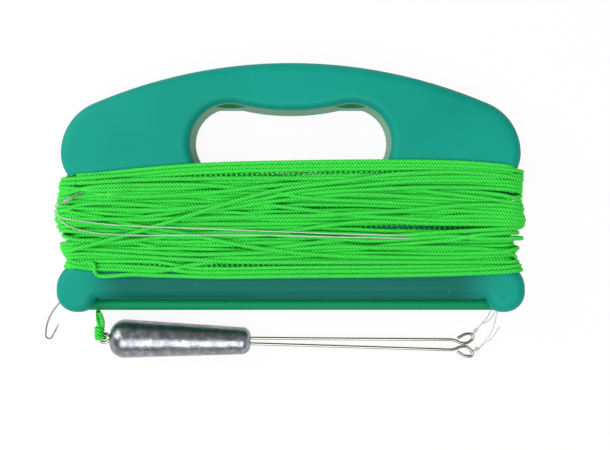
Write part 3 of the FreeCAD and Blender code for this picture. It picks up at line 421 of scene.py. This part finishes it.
# a closed tube: round each centre, a ring of points at the angles and the reach given
def sweptTube(name, centres, angles, reach, material):
    count, sides = angles.shape
    across, up = carriedFrames(centres)
    rings = (
        centres[:, None, :]
        + across[:, None, :] * (np.cos(angles) * reach)[:, :, None]
        + up[:, None, :] * (np.sin(angles) * reach)[:, :, None]
    )
    first = np.arange(count - 1)[:, None] * sides + np.arange(sides)[None, :]
    following = np.arange(count - 1)[:, None] * sides + (np.arange(sides)[None, :] + 1) % sides
    quads = np.stack([first, following, following + sides, first + sides], axis=2).reshape(-1, 4)
    caps = [list(range(sides))[::-1], list(range((count - 1) * sides, count * sides))]
    mesh = bpy.data.meshes.new(name)
    mesh.from_pydata(rings.reshape(-1, 3).tolist(), [], quads.tolist() + caps)
    mesh.polygons.foreach_set("use_smooth", [True] * len(mesh.polygons))
    return newObject(name, mesh, material)


def clearTube(name, route, diameter, step, sides):
    centres, at = evenSteps(route, step)
    angles = np.tile(np.linspace(0, fullTurn, sides, endpoint=False), (len(centres), 1))
    piece = sweptTube(name, centres, angles, diameter / 2, snoodFinish)
    return piece, centres, float(at[-1])


lineShape = {
    "diameter": 2.3 * mm,
    "lay": 4.6 * mm,  # one full turn of a strand
    "grooveDepth": 0.3,  # as a share of the radius
    "firstGroove": 60,
    "lobe": (0, 38, 82),  # degrees from a groove to that groove and to the strand's two high points
}


# a line whose section has three lobes, which turn once in each lay
def twistedTube(name, route, step):
    centres, at = evenSteps(route, step)
    around = np.array([
        lineShape["firstGroove"] + strand * 120 + part for strand in range(3) for part in lineShape["lobe"]
    ])
    reach = np.tile([1 - lineShape["grooveDepth"], 1.0, 1.0], 3) * lineShape["diameter"] / 2
    turn = at[:, None] / lineShape["lay"] * fullTurn + np.radians(around)
    piece = sweptTube(name, centres, turn, reach, lineFinish)
    share = around / 360
    shareNext = np.append(share[1:], share[0] + 1)
    lay = np.zeros((len(at) - 1, len(around), 4, 2))
    lay[..., 0] = np.stack([at[:-1], at[:-1], at[1:], at[1:]], axis=1)[:, None, :]
    lay[..., 1] = np.stack([share, shareNext, shareNext, share], axis=1)
    onCaps = np.full((2 * len(around), 2), 0.5)
    layer = piece.data.uv_layers.new(name="lay")
    layer.data.foreach_set("uv", np.concatenate([lay.reshape(-1, 2), onCaps]).ravel())
    return piece, centres, float(at[-1])


# The winding, in millimetres. Each turn passes the same stations round the core. At a station a
# turn has a level along the frame's y and a height n above the core. A profile is a row of pairs:
# a place, and the value there.

winding = {
    "coreHalf": 110.0,
    "coreHalfDepth": 6.8,
    "middle": 13.8,
    "cornerRadius": 3.0,
    "flatStations": 39,
    "endStations": [  # the angle round the core's end, and the corner there: front 1, back -1
        (67.5, 1), (45, 1), (22.5, 1), (0, 1), (0, 0), (0, -1), (-22.5, -1), (-45, -1), (-67.5, -1),
    ],
    "strand": 2.3,
    "layers": [
        {"turns": 17, "height": 1.2, "wander": 1.0, "inset": 3.0},
        {"turns": 20, "height": 3.4, "wander": 2.4, "inset": 1.0},
        {"turns": 18, "height": 5.2, "wander": 4.2, "inset": 0.0},
    ],
    "slack": 0.7,  # how far a turn's height strays within its layer
    "waves": [(9, 1.0), (19, 0.3)],  # how often the wander changes along a turn, and by what share
    "frontTop": [
        (-118, 5.0), (-103, 5.8), (-92, 6.8), (-75, 9.0), (-50, 10.4), (-20, 11.4),
        (30, 11.6), (90, 11.6), (104, 9.8), (118, 6.4),
    ],
    "frontBottom": [
        (-118, -36.0), (-103, -37.4), (-97, -39.0), (-90, -39.8), (-76, -40.8), (-60, -42.2),
        (-40, -42.8), (40, -42.8), (98, -41.6), (118, -39.6),
    ],
    "backTop": [(-118, 5.0), (-75, 10.0), (-48, 13.8), (-26, 13.2), (0, 12.2), (60, 11.2), (118, 6.4)],
    "backBottom": [(-118, -37.6), (-60, -42.6), (0, -44.2), (60, -42.6), (118, -40.4)],
    "leftEdge": [
        (-41, 115.1), (-36, 115.1), (-32.2, 117.7), (-29.1, 118.2), (-26, 116.7), (-22.9, 118.2),
        (-19.9, 120.3), (-16.8, 120.8), (-13.7, 120.8), (-10.6, 121.3), (-7.5, 119.7), (-4.4, 119.2),
        (1.7, 118.7), (4.8, 117.2), (7, 116.4),
    ],
    "rightEdge": [
        (-41.4, 118.8), (-38.4, 117.2), (-35.3, 115.2), (-32.2, 115.7), (-29.1, 118.8), (-26, 119.3),
        (-22.9, 116.7), (-19.9, 119.3), (-16.8, 121.0), (-13.7, 119.3), (-10.6, 119.8), (-7.5, 118.2),
        (-4.4, 118.8), (1.7, 118.8), (7, 119.5),
    ],
    # gaps part the turns into bunches near the ends: the level of each, and how far it pushes them
    "leftGaps": [(-8.5, 1.2), (-25.6, 2.2), (-33.6, 1.4)],
    "rightGaps": [(-7.6, 1.3), (-22.6, 2.0), (-33.4, 1.5)],
    "gapsStart": 55,
    "gapsGrow": 50,
    "gapEdge": 0.8,
    "gapReach": 5,
    # the last turns cross over the layers, each on its own route
    "over": [
        {"height": 6.9, "route": [
            (-118, -35.5), (-109, -32.1), (-85, -26.1), (-70, -21.3), (-58, -17.1), (-34, -9.4),
            (-17, -3.4), (5, 1.4), (38, 3.6), (51, 7.0), (80, 8.4), (118, 2.0),
        ]},
        {"height": 5.0, "route": [
            (-118, -3.0), (-60, -1.0), (-20, 3.4), (22, 2.7), (54, 0.7), (74, -3.8), (100, -6.4),
            (110, -9.0), (118, -14.2),
        ]},
        {"height": 5.9, "route": [
            (-118, -11.0), (-82, -12.0), (-55, -12.5), (-32, -11.7), (-16, -7.0), (2, -3.2),
            (18, -1.2), (35, 1.0), (50, 4.0), (67, 5.4), (90, 5.6), (118, -0.5),
        ]},
        {"height": 5.3, "route": [
            (-118, -6.0), (-60, -6.5), (-20, -9.0), (-5.5, -9.0), (15, -14.2), (48, -15.5), (118, -17.5),
        ]},
        {"height": 6.2, "route": [
            (-118, -13.0), (-95, -16.0), (-67, -22.0), (-39, -27.2), (-9, -32.4), (9, -34.4),
            (40, -36.5), (90, -36.8), (118, -35.0),
        ]},
        {"height": 5.2, "route": [
            (-118, -38.0), (-90, -40.5), (-63, -42.0), (-43, -40.9), (-30, -36.6), (-4, -33.7),
            (22, -31.8), (61, -28.5), (100, -23.6), (118, -22.0),
        ]},
        {"height": 6.9, "route": [
            (-118, -36.8), (-110, -38.3), (-102, -40.6), (-97, -42.6), (-92, -44.0), (-40, -44.8),
            (40, -44.8), (98, -43.4), (118, -40.6),
        ]},
    ],
    "overSlack": 0.2,
    "lastLevel": -41.2,  # where the line leaves the winding at the back
    # the last turn comes out from under its neighbours on these points, in place of a few stations
    "hitch": [
        (-104.0, -38.6, 25.4), (-100.4, -38.0, 25.0), (-98.2, -38.6, 25.6), (-97.4, -40.6, 27.0),
        (-97.6, -42.8, 27.2), (-96.4, -44.6, 26.6), (-93.4, -45.0, 26.4), (-89.6, -44.8, 26.4),
    ],
    "hitchAfter": 1,
    "hitchBefore": 5,
    "shortOfEnd": 11,  # stations that the last turn doesn't reach
    # places where the outer turns pass over the parked hook or a snood
    "covers": [
        {"x": (-100.5, -83), "y": (-2.6, 4.4), "height": 7.5},
        {"x": (-94, -88), "y": (-6.0, -2.0), "height": 7.3},
        {"x": (66, 120), "y": (-27.0, -21.0), "height": 5.8},
    ],
    "coverFade": (8, 1.5),  # along x and along y
    "pieces": [  # the first turn, the one after the last, and the step between the tube's rings
        (0, 17, 2.6), (17, 27, 1.1), (27, 37, 1.1), (37, 45, 0.55), (45, 53, 0.55), (53, 62, 0.55),
    ],
    "seed": 11,
}
# How the turns settle. In each round, those nearer than contact push each other apart, by at most
# limit. Then all are drawn back toward their wanted level, tightened onto the core, smoothed along
# their length, and spread out at the core's ends.
settling = {
    "rounds": 300, "contact": 2.2, "limit": 0.8, "push": 0.7, "home": 0.03, "tighten": 0.04,
    "smooth": 0.45, "spread": 0.25,
}
# the frame beside the winding: its rims, and two circles that the ends touch, as (x, y, radius)
frameShape = {
    "stepTop": 7.9,
    "stepBottom": -43.4,
    "stepRadius": 3.9,
    "rimGap": 0.3,
    "flank": (97.1, 17.1, 19.7),
    "lobe": (105.2, -51.5, 13.7),
}


def profile(pairs, at):
    return np.interp(at, *zip(*pairs))


# places round the core, and the way out from it: front, right end, back, left end
def coreStations():
    radius = winding["cornerRadius"]
    half, depth = winding["coreHalf"] - radius, winding["coreHalfDepth"] - radius
    places = [(x, depth + radius) for x in np.linspace(-half, half, winding["flatStations"])]
    outward = [(0.0, 1.0)] * winding["flatStations"]
    for angle, corner in winding["endStations"]:
        out = (math.cos(math.radians(angle)), math.sin(math.radians(angle)))
        places.append((half + out[0] * radius, corner * depth + out[1] * radius))
        outward.append(out)
    places += [(-x, -z) for x, z in places]
    outward += [(-x, -z) for x, z in outward]
    return np.array(places), np.array(outward)


def openGaps(y, x):
    for side, gaps in ((-1, winding["leftGaps"]), (1, winding["rightGaps"])):
        near = np.clip((side * x - winding["gapsStart"]) / winding["gapsGrow"], 0, 1) ** 2
        for level, width in gaps:
            off = y - level
            push = near * width * np.tanh(off / winding["gapEdge"])
            y = y + push * np.exp(-np.abs(off) / winding["gapReach"])
    return y


# where each turn of a layer would like to lie, with the wander of winding by hand
def turnLevels(layer, rising, x, front, random):
    turns, count = layer["turns"], len(x)
    top = np.where(front, profile(winding["frontTop"], x), profile(winding["backTop"], x))
    low = np.where(front, profile(winding["frontBottom"], x), profile(winding["backBottom"], x))
    top, low = top - layer["inset"], low + layer["inset"]
    share = (np.arange(turns)[:, None] + np.arange(count)[None, :] / count) / turns
    if not rising:
        share = 1 - share
    spread = np.zeros((turns, count))
    for places, part in winding["waves"]:
        knots = random.normal(0, layer["wander"] * part, (turns, places))
        for row, offsets in zip(spread, knots):
            row += np.interp(np.arange(count), np.linspace(0, count, places), offsets)
    calm = 1 - np.abs(2 * share - 1) ** 3  # the turns at a layer's edges wander least
    return openGaps(low + (top - low) * share + spread * calm, x)


# each turn's wanted levels, the heights that it starts from, and the heights that it stays under
def planTurns(x, front):
    random = np.random.default_rng(winding["seed"])
    back = ~front
    wanted, heights, caps = [], [], []
    for number, layer in enumerate(winding["layers"]):
        levels = turnLevels(layer, number % 2 == 0, x, front, random)
        strayed = layer["height"] + random.normal(0, winding["slack"], (layer["turns"], 1))
        wanted.append(levels)
        heights.append(strayed + np.zeros(levels.shape))
        caps.append(np.full(levels.shape, layer["height"] + winding["slack"]))
    # at the back, a turn that crosses over leads to where the next one starts
    starts = [turn["route"][0][1] for turn in winding["over"]] + [winding["lastLevel"]]
    lastBack = wanted[-1][-1][back]
    wanted[-1][-1][back] = np.linspace(lastBack[0], starts[0], back.sum())
    for turn, following in zip(winding["over"], starts[1:]):
        level = profile(turn["route"], x)
        level[back] = np.linspace(turn["route"][-1][1], following, back.sum())
        wanted.append(level[None, :])
        heights.append(np.full((1, len(x)), turn["height"]))
        caps.append(np.full((1, len(x)), turn["height"] + winding["overSlack"]))
    wanted, heights, caps = (np.concatenate(group) for group in (wanted, heights, caps))
    onTable = winding["middle"] - winding["coreHalfDepth"] - winding["strand"] / 2
    return wanted, heights, np.where(back, np.minimum(caps, onTable), caps)


def separate(y, n):
    dy = y[:, None, :] - y[None, :, :]
    dn = n[:, None, :] - n[None, :, :]
    apart = np.sqrt(dy**2 + dn**2) + 1e-6
    push = np.clip(settling["contact"] - apart, 0, None) * 0.5  # half to each of the two
    same = np.arange(len(y))
    push[same, same, :] = 0
    limit = settling["limit"]
    y += np.clip((push * dy / apart).sum(axis=1), -limit, limit) * settling["push"]
    n += np.clip((push * dn / apart).sum(axis=1), -limit, limit) * settling["push"]


def reachPast(radius, offset):
    return np.sqrt(np.clip(radius**2 - offset**2, 0, None))


# the least and the greatest height of a turn at each station, for the level that it has there, and
# how far the station belongs to the core's end
def roomBesideFrame(y, stations, outward):
    half = winding["strand"] / 2
    reach = frameShape["stepRadius"] + half
    rise = half
    for off in (frameShape["stepTop"] - y, y - frameShape["stepBottom"]):
        rise = np.maximum(rise, frameShape["rimGap"] + reachPast(reach, np.clip(off, 0, None)))
    circles = (frameShape["flank"], frameShape["lobe"])
    flank, lobe = (x + reachPast(radius + half, level - y) for x, level, radius in circles)
    least = np.maximum(np.maximum(flank, lobe) - winding["coreHalf"], half)
    left = stations[:, 0] < 0
    edge = np.where(left, profile(winding["leftEdge"], y), profile(winding["rightEdge"], y))
    most = np.maximum(edge - winding["coreHalf"] - half, least)
    end = outward[:, 0] ** 2
    return np.maximum(rise * (1 - end**4), least * end), most, end


def windLine():
    stations, outward = coreStations()
    x = stations[:, 0]
    front = np.arange(len(x)) < len(x) // 2
    wanted, n, cap = planTurns(x, front)
    outerTurns = winding["layers"][-1]["turns"] + len(winding["over"])
    outer = np.arange(len(n))[:, None] >= len(n) - outerTurns
    fadeX, fadeY = winding["coverFade"]
    y = wanted.copy()
    for _ in range(settling["rounds"]):
        separate(y, n)
        y += (wanted - y) * settling["home"]
        n -= settling["tighten"]
        for values in (y, n):
            line = values.ravel()
            line[1:-1] += ((line[:-2] + line[2:]) / 2 - line[1:-1]) * settling["smooth"]
        least, most, end = roomBesideFrame(y, stations, outward)
        for cover in winding["covers"]:
            across = np.clip(np.minimum(x - cover["x"][0], cover["x"][1] - x) / fadeX + 1, 0, 1)
            along = np.clip(np.minimum(y - cover["y"][0], cover["y"][1] - y) / fadeY + 1, 0, 1)
            lift = cover["height"] * across * along * front * (end < 0.1)
            least = np.where(outer, np.maximum(least, lift), least)
            cap = np.where(outer, np.maximum(cap, lift), cap)
        n += np.where(outer, (most - n) * end * settling["spread"], 0)
        n[:] = np.minimum(n, cap * (1 - end) + most * end)
        n[:] = np.maximum(n, least)
    z = winding["middle"] + stations[:, 1] + outward[:, 1] * n
    return np.stack([x + outward[:, 0] * n, y, z], axis=2) * mm


# the free end: out from the winding's back, behind the bar, to the knot
lineEnd = {
    "route": [
        (-0.0986, -0.0412, 0.0014),
        (-0.0994, -0.0486, 0.0014),
        (-0.1012, -0.0556, 0.0014),
        (-0.1022, -0.0610, 0.0022),
        (-0.1016, -0.0652, 0.0072),
        (-0.1000, -0.0684, 0.0124),
        (-0.0987, -0.0716, 0.0146),
    ],
    "step": 0.55 * mm,
}


# the last turn leaves its layer by the hitch, and stops where the free end starts
def lastRoute(route, perTurn):
    last = len(route) - perTurn
    before = route[:last + winding["hitchAfter"]]
    after = route[last + winding["hitchBefore"]:-winding["shortOfEnd"]]
    return np.concatenate([before, np.array(winding["hitch"]) * mm, after, [lineEnd["route"][0]]])


def buildWinding():
    turns = windLine()
    made = 0.0
    for number, (start, stop, step) in enumerate(winding["pieces"], 1):
        route = turns[start:stop].reshape(-1, 3)
        if stop < len(turns):
            route = np.concatenate([route, turns[stop, :1]])
        else:
            route = lastRoute(route, turns.shape[1])
        piece, centres, length = twistedTube(f"wound_line_{number}", route, step * mm)
        settle(piece, "winder")
        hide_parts("line_winding")
        made += length
        print(f"wound line {number}: {length:.2f} m, {len(piece.data.polygons)} faces")
    print(f"winding: {made:.1f} m")


def buildLineEnd():
    piece, centres, length = twistedTube("line_free_end", lineEnd["route"], lineEnd["step"])
    settle(piece, "winder")
    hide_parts("line_end")
    print(f"free end: {length / mm:.0f} mm")


buildWinding()
buildLineEnd()

# Snoods: clear line from each wire loop, behind the right lobe, over the winding, to its hook. From
# slackStart to slackEnd along y, each runs between the sinker, which moves, and the frame.

snood = {"diameter": 0.6 * mm, "sides": 8, "step": 1.2 * mm, "slackStart": -0.0750, "slackEnd": -0.0500}
snoods = {
    "snood_top": {"nodes": ("snood_upper_lead", "snood_upper"), "route": [
        (0.0996, -0.0736, 0.0017), (0.1036, -0.0698, 0.0025), (0.1062, -0.0648, 0.0017),
        (0.1092, -0.0586, 0.0012), (0.1120, -0.0516, 0.0012), (0.1138, -0.0452, 0.0012),
        (0.1142, -0.0396, 0.0018), (0.1134, -0.0345, 0.0064), (0.1130, -0.0300, 0.0124),
        (0.1130, -0.0268, 0.0190), (0.1120, -0.0250, 0.0230), (0.1070, -0.0240, 0.0238),
        (0.0950, -0.0241, 0.0238), (0.0740, -0.0247, 0.0240), (0.0580, -0.0246, 0.0268),
        (0.0480, -0.0244, 0.0282), (0.0260, -0.0239, 0.0282), (-0.0200, -0.0221, 0.0282),
        (-0.0520, -0.0209, 0.0284), (-0.0700, -0.0203, 0.0292), (-0.0880, -0.0194, 0.0284),
        (-0.1010, -0.0180, 0.0283), (-0.1078, -0.0169, 0.0285), (-0.1130, -0.0160, 0.0280),
        (-0.1160, -0.0149, 0.0270), (-0.1172, -0.0121, 0.0266), (-0.1164, -0.0096, 0.0276),
        (-0.1145, -0.0093, 0.0293),
    ]},
    "snood_bottom": {"nodes": ("snood_lower_lead", "snood_lower"), "route": [
        (0.1009, -0.0841, 0.0016), (0.1034, -0.0800, 0.0036), (0.1070, -0.0754, 0.0030),
        (0.1086, -0.0692, 0.0022), (0.1108, -0.0626, 0.0014), (0.1140, -0.0532, 0.0012),
        (0.1156, -0.0466, 0.0012), (0.1160, -0.0410, 0.0018), (0.1138, -0.0362, 0.0062),
        (0.1134, -0.0318, 0.0124), (0.1132, -0.0286, 0.0190), (0.1122, -0.0266, 0.0230),
        (0.1074, -0.0254, 0.0238), (0.0950, -0.0257, 0.0238), (0.0740, -0.0262, 0.0240),
        (0.0580, -0.0261, 0.0268), (0.0480, -0.0258, 0.0282), (0.0260, -0.0254, 0.0282),
        (-0.0200, -0.0243, 0.0282), (-0.0570, -0.0245, 0.0282), (-0.0760, -0.0246, 0.0292),
        (-0.0900, -0.0241, 0.0286), (-0.1000, -0.0230, 0.0282), (-0.1080, -0.0212, 0.0281),
        (-0.1130, -0.0184, 0.0276), (-0.1160, -0.0160, 0.0262), (-0.1178, -0.0148, 0.0218),
        (-0.1186, -0.0152, 0.0158), (-0.1184, -0.0186, 0.0106), (-0.1180, -0.0246, 0.0064),
        (-0.1176, -0.0314, 0.0036), (-0.1174, -0.0382, 0.0019), (-0.1174, -0.0444, 0.0013),
        (-0.1174, -0.0528, 0.0012),
    ]},
}


def buildSnood(name, nodes, route):
    piece, centres, length = clearTube(name, route, snood["diameter"], snood["step"], snood["sides"])
    x, y, z = route[0]
    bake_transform(piece)
    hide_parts(*nodes)
    print(f"{name}: {length / mm:.0f} mm")


for name, path in snoods.items():
    buildSnood(name, path["nodes"], path["route"])

# Knots, in millimetres. Each is one stretch of its own line, led round what it is tied to.

lineKnot = {
    "lead": [(-98.69, -70.8, 14.5), (-98.7, -74.0, 14.5), (-98.9, -77.0, 13.9)],
    "eye": (-99.093, -78.172, 10.549),
    "loopRadius": 2.0,
    "loop": (20, 340),  # degrees
    "firstWrap": (-98.7, -77.4, 14.5),
    "wraps": 3,
    "wrapStart": -150,
    "wrapsEndShort": 90,
    "pitch": 1.9,
    "wrapRadius": 1.6,
    "tag": [(-96.8, -71.0, 15.6), (-96.5, -69.0, 16.2), (-97.0, -66.4, 17.2), (-98.0, -63.8, 18.2)],
    "steps": 12,  # points in each turn
    "step": 0.5 * mm,
}
snoodKnot = {
    "ringRadius": 1.12,
    "ring": (20, 340),
    "ringSteps": 14,
    "wrapRadius": 0.75,
    "wraps": 4,
    "steps": 12,
    "before": 0.4,  # the wraps reach this far past the start, and "after" past the end
    "after": 0.1,
    "step": 0.25 * mm,
}
snoodKnots = {
    "snood_knot_upper": {
        "piece": "snood_knot_top",
        "tip": (96.2, -77.6, 1.8),
        "start": (97.5, -76.1, 1.8),
        "end": (98.7, -74.7, 1.7),
        "tag": [
            (99.4, -73.6, 2.2), (101.6, -71.6, 3.2), (104.2, -70.6, 2.9), (106.4, -68.9, 2.4),
            (108.4, -65.9, 2.0),
        ],
    },
    "snood_knot_lower": {
        "piece": "snood_knot_bottom",
        "tip": (96.3, -86.6, 1.8),
        "start": (98.1, -85.7, 1.7),
        "end": (99.7, -84.8, 1.6),
        "tag": [
            (100.6, -83.9, 2.1), (103.2, -81.6, 4.0), (106.6, -79.0, 3.9), (108.8, -75.6, 3.4),
            (110.6, -73.4, 3.0),
        ],
    },
}


# points round a circle from one angle to another, which can rise as they go
def circlePoints(centre, first, second, radius, start, stop, steps, rise=(0, 0, 0)):
    centre, first, second, rise = (np.array(v, dtype=float) for v in (centre, first, second, rise))
    angles = np.radians(np.linspace(start, stop, steps))[:, None]
    share = np.linspace(0, 1, steps)[:, None]
    return centre + (first * np.cos(angles) + second * np.sin(angles)) * radius + rise * share


def buildLineKnot():
    knot = lineKnot
    loop = circlePoints(knot["eye"], (0, 0, 1), (1, 0, 0), knot["loopRadius"], *knot["loop"], knot["steps"])
    wraps = circlePoints(
        knot["firstWrap"], (0, 0, 1), (-1, 0, 0), knot["wrapRadius"], knot["wrapStart"],
        knot["wraps"] * 360 - knot["wrapsEndShort"], knot["wraps"] * knot["steps"],
        (0, knot["wraps"] * knot["pitch"], 0),
    )
    route = np.concatenate([knot["lead"], loop, wraps, knot["tag"]]) * mm
    piece, centres, length = twistedTube("line_knot_turns", route, knot["step"])
    settle(piece, "tackle_knot")
    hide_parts("line_knot")
    print(f"knot: {length / mm:.0f} mm of line")


def buildSnoodKnot(node, knot):
    tip, start, end = (np.array(knot[key]) for key in ("tip", "start", "end"))
    out = (end - start) / np.linalg.norm(end - start)
    side = np.cross(out, (0.0, 0.0, 1.0))
    side /= np.linalg.norm(side)
    up = np.cross(side, out)
    ring = circlePoints(tip, out, up, snoodKnot["ringRadius"], *snoodKnot["ring"], snoodKnot["ringSteps"])
    before, after, turns = snoodKnot["before"], snoodKnot["after"], snoodKnot["wraps"]
    wraps = circlePoints(
        start - out * before, side, up, snoodKnot["wrapRadius"], 0, turns * 360,
        turns * snoodKnot["steps"], (end - start) + out * (before + after),
    )
    route = np.concatenate([ring, wraps, knot["tag"]]) * mm
    piece = clearTube(knot["piece"], route, snood["diameter"], snoodKnot["step"], snood["sides"])[0]
    settle(piece, "sinker_rig")
    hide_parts(node)


buildLineKnot()
for node, knot in snoodKnots.items():
    buildSnoodKnot(node, knot)
print("knots tied")

# Hooks, in millimetres. X runs down the shank from the spade, and the point lies on the Y side.

hook = {
    "wire": 0.8,
    "sides": 12,
    # a section is its step from the one before, its width and its thickness, as shares of the wire's
    "spadeStart": -0.75,
    "spadeEnd": (1.2, 0.5),
    "spade": [
        (0.12, 1.43, 0.51), (0.13, 1.58, 0.53), (0.25, 1.69, 0.6), (0.35, 1.44, 0.75), (0.35, 1.18, 0.9),
        (0.5, 1.0, 1.0),
    ],
    "shank": 12.8,
    "sweepRadius": 23.0,
    "sweep": 38.8,
    "sweepSteps": 24,
    "bendRadius": 1.8,
    "bend": 152.9,
    "bendSteps": 20,
    "point": [(5.6, 1.0), (0.6, 0.8), (0.6, 0.57), (0.4, 0.41), (0.4, 0.24), (0.4, 0.08)],
    "barbBack": 3.4,
    "barbLength": 1.7,
    "barbLift": 24.0,
    "barbRadii": (0.3, 0.03),
    "barbSides": 6,
}
whipping = {
    "start": 1.1,
    "length": 4.0,
    "turns": 10,
    "coilRadius": 0.6,
    "thread": 0.4 * mm,
    "steps": 12,
    "step": 0.25 * mm,
    "sides": 6,
}
hooks = {
    "upper": {"body": "winder", "start": (-113.4, -8.6, 28.9), "turn": 31.0, "dip": 7.0, "roll": 180.0},
    "lower": {"body": "loose_hook", "start": (-118.2, -53.8, 0.95), "turn": -128.8, "dip": 1.0, "roll": 0.0},
}


# from the hook's own frame to its place on the object, in metres
def hookMatrix(place):
    turn, dip, roll = (math.radians(place[key]) for key in ("turn", "dip", "roll"))
    heading = Matrix.Rotation(turn, 4, "Z") @ Matrix.Rotation(dip, 4, "Y") @ Matrix.Rotation(roll, 4, "X")
    return Matrix.Scale(mm, 4) @ Matrix.Translation(Vector(place["start"])) @ heading


# extrudes the selected section by a move, then scales it about the spot where it now is
def extrudeTo(move, spot, scale):
    bpy.ops.mesh.extrude_region_move(TRANSFORM_OT_translate={"value": move})
    bpy.ops.transform.resize(value=scale, center_override=spot)


# spins the selected section on round a bend, and returns the place and the angle that it ends at
def spinRound(start, angle, turn, radius, steps):
    centre = start + Vector((-math.sin(angle), math.cos(angle), 0)) * radius
    bpy.ops.mesh.spin(steps=steps, angle=turn, center=centre, axis=(0, 0, -1))
    angle += turn
    return centre + Vector((math.sin(angle), -math.cos(angle), 0)) * radius, angle


# the wire from spade to point, drawn by extruding one section along it
def drawWire():
    bpy.ops.object.select_all(action="DESELECT")
    bpy.ops.mesh.primitive_circle_add(
        vertices=hook["sides"], radius=hook["wire"] / 2, fill_type="NGON",
        location=(hook["spadeStart"], 0, 0), rotation=(0, math.radians(90), 0),
    )
    wire = bpy.context.object
    bpy.ops.object.transform_apply(location=True, rotation=True, scale=True)
    bpy.ops.object.mode_set(mode="EDIT")
    bpy.ops.mesh.select_all(action="SELECT")
    along, wide, thick = hook["spadeStart"], *hook["spadeEnd"]
    bpy.ops.transform.resize(value=(1, wide, thick), center_override=(along, 0, 0))
    for step, nextWide, nextThick in hook["spade"]:
        along += step
        extrudeTo((step, 0, 0), (along, 0, 0), (1, nextWide / wide, nextThick / thick))
        wide, thick = nextWide, nextThick
    end = Vector((hook["shank"], 0, 0))
    extrudeTo((hook["shank"] - along, 0, 0), end, (1, 1, 1))
    sweep, bend = math.radians(hook["sweep"]), math.radians(hook["bend"])
    end, angle = spinRound(end, 0, sweep, hook["sweepRadius"], hook["sweepSteps"])
    end, angle = spinRound(end, angle, bend, hook["bendRadius"], hook["bendSteps"])
    heading = Vector((math.cos(angle), math.sin(angle), 0))
    size = 1.0
    for step, nextSize in hook["point"]:
        end = end + heading * step
        extrudeTo(heading * step, end, [nextSize / size] * 3)
        size = nextSize
    bpy.ops.object.mode_set(mode="OBJECT")
    return wire, heading, end


# the barb is a sliver raised from the inner side of the point
def addBarb(wire, heading, tip):
    lift = math.radians(hook["barbLift"])
    lean = -heading * math.cos(lift) + Vector((heading.y, -heading.x, 0)) * math.sin(lift)
    root = tip - heading * hook["barbBack"]
    wide, narrow = hook["barbRadii"]
    bpy.ops.object.select_all(action="DESELECT")
    bpy.ops.mesh.primitive_cone_add(
        vertices=hook["barbSides"], radius1=wide, radius2=narrow, depth=hook["barbLength"],
        location=root + lean * hook["barbLength"] / 2, rotation=lean.to_track_quat("Z", "Y").to_euler(),
    )
    wire.select_set(True)
    bpy.context.view_layer.objects.active = wire
    bpy.ops.object.join()


def buildHook(name, place):
    wire, heading, tip = drawWire()
    addBarb(wire, heading, tip)
    wire.matrix_world = hookMatrix(place)
    bpy.ops.object.transform_apply(location=True, rotation=True, scale=True)
    bpy.ops.object.mode_set(mode="EDIT")
    bpy.ops.mesh.select_all(action="SELECT")
    bpy.ops.mesh.normals_make_consistent(inside=False)
    bpy.ops.object.mode_set(mode="OBJECT")
    bpy.ops.object.shade_smooth()
    wire.name = wire.data.name = f"hook_{name}_wire"
    wire.data.materials.append(hookFinish)
    settle(wire, place["body"])
    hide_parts(f"hook_{name}")
    print(f"hook {name}: {len(wire.data.polygons)} faces")


def buildWhipping(name, place):
    turns = whipping["turns"]
    coil = circlePoints(
        (whipping["start"], 0, 0), (0, 1, 0), (0, 0, 1), whipping["coilRadius"], 0, turns * 360,
        turns * whipping["steps"], (whipping["length"], 0, 0),
    )
    route = [hookMatrix(place) @ Vector(point) for point in coil]
    piece = clearTube(
        f"whipping_{name}_turns", route, whipping["thread"], whipping["step"], whipping["sides"]
    )[0]
    settle(piece, place["body"])
    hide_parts(f"hook_whipping_{name}")


for name, place in hooks.items():
    buildHook(name, place)
    buildWhipping(name, place)
print("hooks made")

# The CAD nodes that stay take their finishes

for node, finish in (
    ("winder_frame", frameFinish), ("sinker_body", leadFinish), ("spreader_wire", wireFinish)
):
    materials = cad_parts[node].data.materials
    materials.clear()
    materials.append(finish)
print("CAD nodes dressed")
